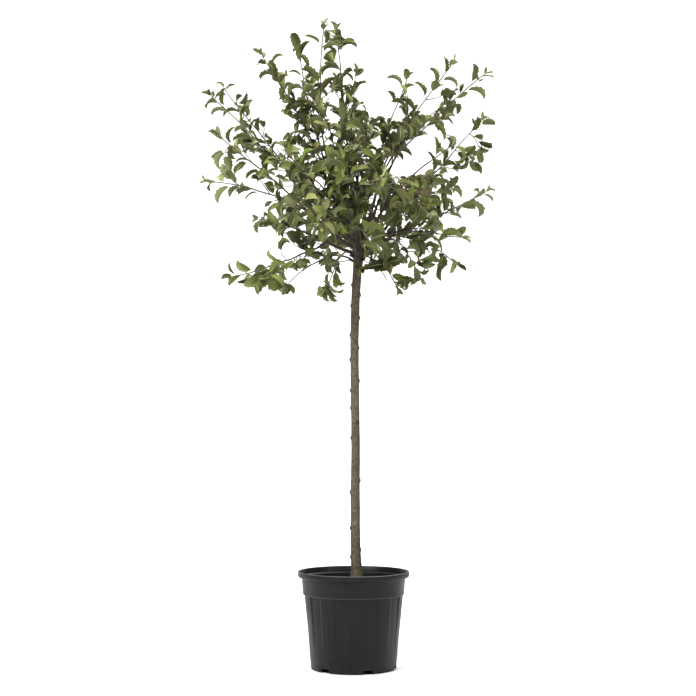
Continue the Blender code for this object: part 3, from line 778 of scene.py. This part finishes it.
TWIG_COLOURS = (
    # name, colour, roughness
    ("old_wood", (0.036, 0.027, 0.021), 0.80),
    ("olive_wood", (0.056, 0.044, 0.034), 0.62),
    ("green_wood", (0.095, 0.086, 0.056), 0.50),
)


def path_length(path):
    return sum((b - a).length for a, b in zip(path, path[1:]))


def path_at(path, share):
    """Point and direction at a share of the path's length."""
    left = share * path_length(path)
    for a, b in zip(path, path[1:]):
        step = (b - a).length
        if left <= step:
            return between(a, b, left / step), (b - a).normalized()
        left -= step
    return path[-1].copy(), (path[-1] - path[-2]).normalized()


def turned_out(along, turn):
    """Direction square to a twig, at a turn round it."""
    across = along.orthogonal().normalized()
    return across * cos(turn) + along.cross(across) * sin(turn)


def shoot_handle(start, heading, tip):
    rise = tip[3] / 1000.0 if len(tip) > 3 else 0.0
    return start + heading * SHOOT_HANDLE * (metres(tip) - start).length + Vector((0, 0, 2 * rise))


def plan_masses():
    """For every mass: its name, where its stem starts, its heading, the stem's length and the tips of its
    shoots.
    """
    plans = []
    for name, foot_height, fork, tips in BOUGHS:
        foot, fork = trunk_at(foot_height / 1000.0)[0], metres(fork)
        path = curve_points(foot, bough_handle(foot, fork), fork, BOUGH_RINGS)
        heading = (path[-1] - path[-2]).normalized()
        plans.append((name, fork + heading * GAP, heading, STEM_LENGTH, tips))
    for name, foot_height, tips in TRUNK_SHOOTS:
        start = trunk_at(foot_height / 1000.0)[0]
        reach = metres(tips[0]) - start
        heading = Vector((reach.x, reach.y, 0.0)).normalized()
        heading = (heading + Vector((0, 0, TRUNK_SHOOT_RISE))).normalized()
        plans.append((name, start, heading, 2 * STEM_LENGTH, tips))
    return plans


def side_twigs(shoots, rng):
    """Side twigs turned round each shoot by the golden angle, as the solids have them."""
    twigs = []
    for shoot in shoots:
        count = max(1, round(path_length(shoot) / TWIG_SPACING) - 1)
        turn = rng.uniform(0.0, 2 * pi)
        for place in range(count):
            share = place + TWIG_FIRST + rng.uniform(-TWIG_JITTER, TWIG_JITTER)
            share /= count + 1 - TWIG_JITTER
            start, along = path_at(shoot, share)
            turn += GOLDEN_TURN
            lean = TWIG_ANGLE * rng.uniform(*TWIG_LEANS)
            heading = along * cos(lean) + turned_out(along, turn) * sin(lean)
            reach = TWIG_LENGTH * (1.0 - TWIG_SHORTENING * share) * rng.uniform(*TWIG_REACHES)
            twigs.append((share, start, start + heading * reach + Vector((0, 0, TWIG_RISE * reach))))
    return twigs


def wandering(path, amount, phase):
    """The path with a slow natural wander that is nil at both ends."""
    last = len(path) - 1
    moved = []
    for step, point in enumerate(path):
        share = step / last
        ease = sin(pi * share) ** 0.7
        shift = Vector([noise.noise(Vector((share * WANDER_TURNS, phase, row))) for row in (0.0, 5.0, 9.0)])
        moved.append(point + shift * amount * 2.0 * ease)
    return moved


def jointed_radii(thick, thin, count, rng):
    """Radii along a shoot with a small swelling at each leaf joint."""
    return [between(thick, thin, (step / count) ** 0.85)
            + (JOINT_SWELL if step % 3 == 0 else 0.0) * rng.uniform(0.5, 1.0) for step in range(count + 1)]


wood_finishes = [make_finish(*row, WOOD_SHINE)[0] for row in TWIG_COLOURS]


def wood_tints(sides, rings, first, last):
    """Old, olive or green wood for each face of a tube, from its age at foot and tip."""
    tints = [round(first)]
    for ring in range(rings):
        tints += [round(between(first, last, (ring + 0.5) / rings))] * sides
    return tints + [round(last)]


# Leaves: small ovate blades with a toothed edge, folded along a pale rib and bent
# back at the tip, on thin stalks, younger and lighter towards each shoot's end.
LEAF_SEED = 1041
LEAF_ROWS = 13
LEAF_COLUMNS = (-1.0, -0.55, -0.07, 0.07, 0.55, 1.0)
LEAF_LENGTHS = (0.042, 0.058)
LEAF_SLIMNESS = (0.23, 0.32)
LEAF_THICKNESS = 0.00035
LEAF_MIN_HALF_WIDTH = 0.0004
LEAF_EDGE = radians(70.0)
LEAF_TRIES = 5
LEAF_ANGLE = radians(58.0)
LEAF_LEANS = (0.75, 1.2)
LEAF_LIFT = 0.6
LEAF_ROLL = radians(42.0)
LEAF_FOLDS = (radians(22.0), radians(62.0))
LEAF_RECURVES = (radians(35.0), radians(115.0))
RECURVE_EASING = 1.4
RECURVE_START = 0.25
WAVE_SHARE = 0.05
WAVE_TURNS = 9.0
TOOTH = 0.10
TIP_LEAF_ANGLE = radians(21.0)
TIP_PAIR = ((1.0, 1.0), (0.8, 1.6))
YOUNG_LEAF = 0.55
YOUNG_STRETCH = 0.038
YOUNG_LENGTH = 0.030
YOUNG_WIDTH = 1.15
STALK_SHARE = 0.17
STALK_LENGTHS = (0.7, 1.3)
STALK_RADIUS = 0.00045
STALK_FOOT = 1.3
# Leaves along a shoot: first place and last share from its tip, sizes and spacing.
SHOOT_LEAF_START = 0.008
SHOOT_LEAFY_SHARE = 0.66
SHOOT_LEAF_SIZES = (0.85, 1.1)
LEAF_SPACING = 0.0200
YOUNG_SPACING = 0.45
# Leaves along a side twig.
TWIG_TIP_SIZES = (0.55, 0.95)
TWIG_LEAF_START = 0.010
TWIG_LEAF_END = 0.004
TWIG_LEAF_SIZES = (0.70, 1.05)
TWIG_LEAF_GAP = 0.021
# Spurs and the leaves at their tips.
SPUR_SPACING = 0.034
SPUR_JITTER = (0.75, 1.25)
SPUR_LENGTHS = (0.016, 0.046)
SPUR_REACH = 0.60
SPUR_LEANS = (0.8, 1.4)
SPUR_BEND = 0.55
SPUR_RISE = 0.2
SPUR_RINGS = 4
SPUR_RADII = (0.0013, 0.0012, 0.0012, 0.0011, 0.0010)
SPUR_LEAF_COUNTS = (2, 3, 3, 4)
SPUR_LEAF_SIZES = (0.42, 0.82)
SPUR_LEAF_LEANS = (0.4, 1.3)
# Dense groups at the ends of extra twigs.
CLUSTER_FEET = (0.15, 0.3, 0.45, 0.6, 0.75, 0.88)
CLUSTER_BOW = 0.25
CLUSTER_AGE = 0.5
CLUSTER_GAP = 0.006
CLUSTER_DEPTH = 0.6
CLUSTER_LEANS = (0.35, 1.35)
CLUSTER_LEAF_SIZES = (0.85, 1.1)
CLUSTER_BELOW = 0.012
CLUSTER_LOWER_SIZES = (0.75, 1.0)
CLUSTER_TINTED = 0.65
# Leaves near the crown's middle are dealt the deep and the shade tints more often: painted shade for the
# inside of the crown.
CROWN_MIDDLE = Vector((0.01, 0.0, 1.15))
INNER_REACH = 0.19
DEEP_INSIDE = 0.45
SHADE_INSIDE = 0.62
RUSSET_SPOT = (Vector((0.155, -0.10, 1.175)), 0.060)
RUSSET_SHARE = 0.55
YOUNG_SIZE = 0.62
YOUNG_SHARE = 0.75
PALE_UNDER_SHARE = 0.35
# Places where the sky or the graft head shows through the crown from the front, as
# seen at mid-depth: right, height and reach in millimetres.
OPENINGS = (
    (-195, 1358, 26), (44, 960, 25), (-102, 980, 23), (248, 1052, 21), (-24, 1534, 20),
    (291, 1215, 20), (162, 1263, 21), (54, 1410, 19), (-215, 1067, 19), (-145, 973, 18),
    (117, 1253, 18), (29, 1448, 17), (-210, 1448, 16), (200, 1418, 16), (281, 1328, 16),
    (165, 1315, 20), (-243, 1405, 14), (-225, 1184, 14), (84, 973, 14), (-160, 1534, 14),
    (-102, 1554, 13), (-250, 1021, 13), (-336, 1315, 12), (-152, 1487, 12), (-94, 1526, 12),
    (160, 1448, 12), (-318, 1425, 11), (110, 1392, 12), (-303, 1376, 12), (-165, 1207, 11),
    (240, 1125, 12), (-145, 1039, 11), (-52, 1433, 10), (-49, 1384, 10), (195, 1351, 10),
    (59, 1320, 10), (-245, 1269, 10), (-245, 1205, 9), (-193, 1304, 9), (-87, 1217, 11),
    (92, 1266, 10), (256, 1284, 8), (10, 1230, 8), (50, 1178, 8), (9, 1085, 10), (9, 1047, 13),
    (7, 1015, 12),
)
# Dense groups of leaves at the ends of extra side twigs: right, back and height in
# millimetres, number of leaves, their size, their tint if it isn't dealt out.
CLUSTERS = {
    "crest": ((-30, 15, 1575, 6, 0.90, None), (-58, 20, 1536, 5, 0.90, None)),
    "left_high": ((-62, -50, 1560, 5, 0.85, None), (-152, 0, 1336, 5, 0.90, None),
                  (-117, -20, 1394, 5, 0.90, None), (-107, 0, 1466, 4, 0.85, None)),
    "left_upper": ((-292, 80, 1428, 5, 0.90, None),),
    "left_mid": ((-315, -120, 1270, 4, 0.90, None),),
    "left_low": ((-207, -55, 980, 7, 1.00, "bright"), (-240, -30, 970, 4, 0.90, None),
                 (-170, -20, 962, 4, 0.80, None), (-160, 30, 1108, 5, 0.90, None),
                 (-112, 0, 1030, 5, 0.80, None)),
    "hanger_left": ((-64, -48, 946, 6, 0.90, None),),
    "front_left": ((-75, -220, 1086, 8, 1.00, "bright"),),
    "front_high": ((-50, -200, 1227, 7, 0.95, "bright"),),
    "front_low": ((30, -120, 1085, 5, 0.62, "brown"),),
    "front_right": ((126, -150, 1142, 8, 0.62, "russet"), (158, -150, 1180, 6, 0.58, "brown"),
                    (115, -120, 1185, 5, 0.60, "russet")),
    "hanger_right": ((77, -85, 1008, 6, 0.85, "brown"), (105, -98, 952, 3, 0.95, None)),
    "right_drop": ((208, -30, 1005, 4, 0.95, None),),
    "right_mid": ((302, 100, 1295, 6, 1.00, "bright"), (326, 100, 1330, 4, 0.90, None)),
    "right_low": ((100, -10, 1112, 5, 0.80, None),),
}
LEAF_ROUGHNESS = 0.5
UNDER_ROUGHNESS = 0.7
LEAF_SHINE = 0.22
LEAF_TINTS = (
    # name, upper face, share of full-grown leaves
    ("leaf_mid", (0.130, 0.154, 0.038), 0.39),
    ("leaf_deep", (0.056, 0.070, 0.020), 0.24),
    ("leaf_grey", (0.165, 0.178, 0.080), 0.20),
    ("leaf_bright", (0.112, 0.175, 0.028), 0.03),
    ("leaf_pale", (0.240, 0.262, 0.092), 0.14),
)
YOUNG_TINT = ("leaf_young", (0.178, 0.202, 0.100))
RUSSET_TINT = ("leaf_russet", (0.160, 0.098, 0.052))
SHADE_TINT = ("leaf_shade", (0.024, 0.031, 0.011))
BROWN_TINT = ("leaf_brown", (0.195, 0.160, 0.085))
SUNLIT_TINT = ("leaf_sunlit", (0.158, 0.192, 0.056))
SET_TINTS = (YOUNG_TINT, RUSSET_TINT, BROWN_TINT, SUNLIT_TINT, SHADE_TINT)
# leaf_under is painted darker than the upper faces, painted shade on the faces that look down;
# leaf_under_pale is the underside's own paler colour
UNDER_TINTS = (("leaf_under", (0.088, 0.098, 0.036)), ("leaf_under_pale", (0.155, 0.168, 0.072)))
RIB_TINT = ("leaf_rib", (0.260, 0.285, 0.115))
STALK_TINT = ("leaf_stalk", (0.240, 0.260, 0.100))


leaf_rows = [(*row[:2], LEAF_ROUGHNESS) for row in (*LEAF_TINTS, *SET_TINTS)]
leaf_rows += [(*row, UNDER_ROUGHNESS) for row in UNDER_TINTS]
leaf_rows += [(*row, LEAF_ROUGHNESS) for row in (RIB_TINT, STALK_TINT)]
leaf_finishes = [make_finish(*row, LEAF_SHINE)[0] for row in leaf_rows]
DEEP = 1
YOUNG = len(LEAF_TINTS)
RUSSET, BROWN, SUNLIT, SHADE = (YOUNG + place for place in (1, 2, 3, 4))
UNDER = YOUNG + len(SET_TINTS)
RIB = UNDER + len(UNDER_TINTS)
STALK = RIB + 1
CLUSTER_LOOKS = {None: None, "bright": SUNLIT, "russet": RUSSET, "brown": BROWN}


def leaf_pattern():
    """Faces of one leaf with its stalk, and what each shows: 0 upper, 1 under, 2 rib, 3 stalk."""
    rows, columns = LEAF_ROWS, len(LEAF_COLUMNS)
    layer = rows * columns
    faces, kinds = [], []
    for row in range(rows - 1):
        for column in range(columns - 1):
            a = row * columns + column
            quad = (a, a + 1, a + columns + 1, a + columns)
            faces += [quad, tuple(layer + corner for corner in reversed(quad))]
            kinds += [2 if column == columns // 2 - 1 else 0, 1]
    for row in range(rows - 1):
        for column, flip in ((0, False), (columns - 1, True)):
            a, b = row * columns + column, (row + 1) * columns + column
            quad = (a, b, layer + b, layer + a)
            faces.append(tuple(reversed(quad)) if flip else quad)
            kinds.append(0)
    for column in range(columns - 1):
        for row, flip in ((0, True), (rows - 1, False)):
            a = row * columns + column
            quad = (a, a + 1, layer + a + 1, layer + a)
            faces.append(tuple(reversed(quad)) if flip else quad)
            kinds.append(0)
    base = 2 * layer
    for side in range(3):
        after = (side + 1) % 3
        faces.append((base + side, base + after, base + 3 + after, base + 3 + side))
        kinds.append(3)
    return faces, kinds


LEAF_FACES, LEAF_KINDS = leaf_pattern()
ROW_SHARES = np.linspace(0.0, 1.0, LEAF_ROWS)
OUTLINE = ROW_SHARES ** 0.72 * (1.0 - ROW_SHARES) ** 0.80
OUTLINE = OUTLINE / OUTLINE.max()
TEETH = np.where(np.arange(LEAF_ROWS) % 2 == 0, TOOTH, -TOOTH)


def leaf_points(spot, axis, face, length, rng):
    """All points of one leaf: its folded, bent blade in two layers and its stalk."""
    spot, axis, face = np.array(spot), np.array(axis), np.array(face)
    side = np.cross(face, axis)
    stalk = length * STALK_SHARE * rng.uniform(*STALK_LENGTHS)
    half = length * rng.uniform(*LEAF_SLIMNESS) * (YOUNG_WIDTH if length < YOUNG_LENGTH else 1.0)
    fold = rng.uniform(*LEAF_FOLDS)
    recurve = rng.uniform(*LEAF_RECURVES) * min(1.0, length / LEAF_LENGTHS[0]) ** 1.5
    wave, phase = WAVE_SHARE * length * rng.uniform(0.2, 1.0), rng.uniform(0.0, 6.0)
    turn = recurve * (ROW_SHARES ** RECURVE_EASING - RECURVE_START)
    ahead = np.outer(np.cos(turn), axis) - np.outer(np.sin(turn), face)
    up = np.outer(np.cos(turn), face) + np.outer(np.sin(turn), axis)
    steps = (ahead[1:] + ahead[:-1]) / 2.0 * (length / (LEAF_ROWS - 1))
    middle = spot + axis * stalk + np.vstack([np.zeros(3), np.cumsum(steps, axis=0)])
    columns = np.array(LEAF_COLUMNS)
    width = np.maximum(half * OUTLINE, LEAF_MIN_HALF_WIDTH)
    edge = np.where(np.abs(columns) == 1.0, 1.0, 0.0)
    across = columns[None, :] * width[:, None] * (1.0 + TEETH[:, None] * edge[None, :])
    lift = np.abs(across) * sin(fold)
    ripple = np.sin(WAVE_TURNS * ROW_SHARES + phase) * width / half
    lift = lift + wave * edge[None, :] * ripple[:, None]
    upper = (middle[:, None, :] + side[None, None, :] * (across * cos(fold))[:, :, None]
             + up[:, None, :] * lift[:, :, None])
    lower = upper - up[:, None, :] * LEAF_THICKNESS
    foot, top = [], []
    for number in range(3):
        angle = 2 * pi * number / 3
        offset = (side * cos(angle) + face * sin(angle)) * STALK_RADIUS
        foot.append(spot + offset * STALK_FOOT)
        top.append(spot + axis * stalk * 1.04 + offset)
    return np.vstack([upper.reshape(-1, 3), lower.reshape(-1, 3), foot, top])


def leaf_axes(along, turn, lean, roll):
    """Which way a leaf points and which way its upper face looks."""
    axis = (along * cos(lean) + turned_out(along, turn) * sin(lean)).normalized()
    face = along + Vector((0, 0, LEAF_LIFT))
    face = (face - axis * face.dot(axis)).normalized()
    return axis, Matrix.Rotation(roll, 3, axis) @ face


def pick_tint(spot, size, rng):
    """A leaf's tint, dealt out by its place in the crown, its age and chance; leaves inside the crown get
    dark tints as painted shade.
    """
    middle, reach = RUSSET_SPOT
    if (spot - middle).length < reach and rng.random() < RUSSET_SHARE:
        return RUSSET
    inside = (spot - CROWN_MIDDLE).length < INNER_REACH
    if size < YOUNG_SIZE and not inside and rng.random() < YOUNG_SHARE:
        return YOUNG
    pick = rng.random()
    # painted shade: leaves inside the crown get the deep or the shade tint
    if inside and pick > DEEP_INSIDE:
        return SHADE if pick > SHADE_INSIDE else DEEP
    for number, (_, _, share) in enumerate(LEAF_TINTS):
        pick -= share
        if pick <= 0.0:
            return number
    return 0


def in_opening(points):
    """Whether a leaf or twig would close one of the open places."""
    points, places = np.array(points), np.array(OPENINGS) / 1000.0
    nearer = VIEW_DISTANCE / (VIEW_DISTANCE + points[:, 1])
    right = VIEW_RIGHT + (points[:, 0] - VIEW_RIGHT) * nearer
    height = VIEW_HEIGHT + (points[:, 2] - VIEW_HEIGHT) * nearer
    away = np.hypot(right[:, None] - places[None, :, 0], height[:, None] - places[None, :, 1])
    return bool((away < places[None, :, 2]).any())


def short_spurs(shoots, rng):
    """Short spurs of older wood on the inner part of each shoot."""
    spurs = []
    for path in shoots:
        length = path_length(path)
        along_path, turn = STEM_LENGTH, rng.uniform(0.0, 2 * pi)
        while along_path < length * SPUR_REACH:
            start, along = path_at(path, along_path / length)
            turn += GOLDEN_TURN
            lean = TWIG_ANGLE * rng.uniform(*SPUR_LEANS)
            heading = along * cos(lean) + turned_out(along, turn) * sin(lean)
            reach = rng.uniform(*SPUR_LENGTHS)
            end = start + heading * reach + Vector((0, 0, SPUR_RISE * reach))
            spurs.append(curve_points(start, start + heading * reach * SPUR_BEND, end, SPUR_RINGS))
            along_path += SPUR_SPACING * rng.uniform(*SPUR_JITTER)
    return spurs


def cluster_twigs(name, shoots):
    """The extra side twigs of a mass, each from the nearest part of a shoot."""
    twigs = []
    for *tip, _, _, _ in CLUSTERS.get(name, ()):
        tip = metres(tip)
        places = [path_at(path, share) for path in shoots for share in CLUSTER_FEET]
        start, along = min(places, key=lambda place: (place[0] - tip).length)
        handle = between(start, tip, 0.5) + along * CLUSTER_BOW * (tip - start).length
        twigs.append(curve_points(start, handle, tip, TWIG_RINGS))
    return twigs


def places_down(path, start, stop):
    """Spots on a twig and its direction there, evenly from near the tip towards the foot."""
    length = path_length(path)
    while start < length - stop:
        yield path_at(path, 1.0 - start / length)
        start += TWIG_LEAF_GAP


def leaf_sites(shoots, twigs, spurs, clusters, rng):
    """Where leaves sit: spot, direction of the twig, size, lean from it and a set tint."""
    sites = []
    for path in shoots:
        length = path_length(path)
        spot, along = path_at(path, 1.0)
        sites += [(spot, along, YOUNG_LEAF * size, TIP_LEAF_ANGLE * lean, None)
                  for size, lean in TIP_PAIR]
        down = SHOOT_LEAF_START
        while down < length * SHOOT_LEAFY_SHARE:
            grown = between(YOUNG_LEAF, 1.0, min(1.0, down / YOUNG_STRETCH))
            spot, along = path_at(path, 1.0 - down / length)
            size = grown * rng.uniform(*SHOOT_LEAF_SIZES)
            sites.append((spot, along, size, LEAF_ANGLE * rng.uniform(*LEAF_LEANS), None))
            down += LEAF_SPACING * between(YOUNG_SPACING, 1.0, grown)
    for path in twigs:
        sites.append((*path_at(path, 1.0), rng.uniform(*TWIG_TIP_SIZES), TIP_LEAF_ANGLE, None))
        for place in places_down(path, TWIG_LEAF_START, TWIG_LEAF_END):
            size = rng.uniform(*TWIG_LEAF_SIZES)
            sites.append((*place, size, LEAF_ANGLE * rng.uniform(*LEAF_LEANS), None))
    for path in spurs:
        spot, along = path_at(path, 1.0)
        for _ in range(rng.choice(SPUR_LEAF_COUNTS)):
            size = rng.uniform(*SPUR_LEAF_SIZES)
            sites.append((spot, along, size, LEAF_ANGLE * rng.uniform(*SPUR_LEAF_LEANS), None))
    for path, (_, _, _, count, group_size, look) in clusters:
        length = path_length(path)
        for number in range(count):
            spot, along = path_at(path, 1.0 - min(CLUSTER_DEPTH, CLUSTER_GAP * number / length))
            lean = LEAF_ANGLE * between(*CLUSTER_LEANS, (number + 0.5) / count)
            tint = CLUSTER_LOOKS[look] if rng.random() < CLUSTER_TINTED else None
            sites.append((spot, along, group_size * rng.uniform(*CLUSTER_LEAF_SIZES), lean, tint))
        for place in places_down(path, CLUSTER_GAP * count + CLUSTER_BELOW, CLUSTER_GAP):
            sites.append((*place, group_size * rng.uniform(*CLUSTER_LOWER_SIZES), LEAF_ANGLE, None))
    return sites


def grow_shoots(number, start, heading, stem_length, tips):
    """The shoots of a mass, coarse as the solids have them and fine with their wander."""
    foot = start + heading * stem_length * SHOOT_FOOT
    coarse, fine = [], []
    for place, tip in enumerate(tips):
        handle = shoot_handle(foot, heading, tip)
        coarse.append(curve_points(foot, handle, metres(tip), SHOOT_RINGS))
        smooth = curve_points(foot, handle, metres(tip), SHOOT_SMOOTH)
        fine.append(wandering(smooth, SHOOT_WOBBLE, number * 7.3 + place * 2.9))
    return coarse, fine


def grow_wood(name, stem, shoots, twigs, spurs, rng):
    """One piece of all the shoots, side twigs and spurs of a mass; twigs come with their age."""
    limbs = [(stem, STEM_RADII, STEM_SIDES, 0, 0)]
    for path in shoots:
        radii = jointed_radii(SHOOT_RADIUS, SHOOT_TIP_RADIUS, SHOOT_SMOOTH, rng)
        limbs.append((path, radii, SHOOT_SIDES, -0.3, 2.2))
    for path, age in twigs:
        radii = jointed_radii(TWIG_RADIUS, TWIG_TIP_RADIUS, TWIG_RINGS, rng)
        limbs.append((path, radii, TWIG_SIDES, 0.2 + age, 1.2 + age))
    limbs += [(path, SPUR_RADII, TWIG_SIDES, 0, 0.4) for path in spurs]
    skins, tints = [], []
    for path, radii, sides, foot_age, tip_age in limbs:
        skins.append(tube(path, radii, sides))
        tints += wood_tints(sides, len(path) - 1, foot_age, tip_age)
    return make_piece("twigs_" + name, *join_skins(skins), wood_finishes, tints, SOFT_EDGE)


def grow_leaves(name, sites, turn, rng):
    """One piece of all the leaves of a mass, each tried a few times to miss the openings."""
    verts, faces, looks = [], [], []
    count = 0
    for spot, along, size, lean, set_tint in sites:
        tint = set_tint if set_tint is not None else pick_tint(spot, size, rng)
        for _ in range(LEAF_TRIES):
            turn += GOLDEN_TURN
            axis, face = leaf_axes(along, turn, lean, rng.uniform(-LEAF_ROLL, LEAF_ROLL))
            points = leaf_points(spot, axis, face, rng.uniform(*LEAF_LENGTHS) * size, rng)
            if not in_opening(points):
                break
        else:
            continue
        # undersides: most get the dark tint, painted shade; some, and the young ones, get the paler own
        # colour
        under = UNDER + (1 if rng.random() < PALE_UNDER_SHARE or tint == YOUNG else 0)
        faces += [tuple(count + corner for corner in quad) for quad in LEAF_FACES]
        looks += [(tint, under, RIB, STALK)[kind] for kind in LEAF_KINDS]
        verts.append(points)
        count += len(points)
    return make_piece("leaves_" + name, np.vstack(verts).tolist(), faces, leaf_finishes, looks, LEAF_EDGE)


for mass_number, (mass_name, mass_start, mass_heading, mass_stem, mass_tips) in enumerate(plan_masses()):
    leaf_rng = random.Random(LEAF_SEED + mass_number)
    coarse_shoots, fine_shoots = grow_shoots(mass_number, mass_start, mass_heading, mass_stem, mass_tips)
    side = []
    for twig_age, twig_start, twig_end in side_twigs(coarse_shoots, random.Random(SEED + mass_number)):
        sag = Vector((0, 0, TWIG_SAG * (twig_end - twig_start).length))
        twig = curve_points(twig_start, between(twig_start, twig_end, 0.5) - sag, twig_end, TWIG_RINGS)
        if not in_opening(twig[TWIG_RINGS // 2:]):
            side.append((twig, twig_age))
    spur_paths = [path for path in short_spurs(fine_shoots, leaf_rng)
                  if not in_opening(path[SPUR_RINGS // 2:])]
    extra = cluster_twigs(mass_name, fine_shoots)
    stem_path = [mass_start - mass_heading * STEM_SINK, mass_start + mass_heading * mass_stem]
    aged_twigs = side + [(path, CLUSTER_AGE) for path in extra]
    wood = grow_wood(mass_name, stem_path, fine_shoots, aged_twigs, spur_paths, leaf_rng)
    first_turn = leaf_rng.uniform(0.0, 2 * pi)
    cluster_rows = list(zip(extra, CLUSTERS.get(mass_name, ())))
    leaf_places = leaf_sites(fine_shoots, [path for path, _ in side], spur_paths, cluster_rows, leaf_rng)
    foliage = grow_leaves(mass_name, leaf_places, first_turn, leaf_rng)
    for piece in (wood, foliage):
        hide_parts("mass_" + mass_name)
        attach(piece, "root")
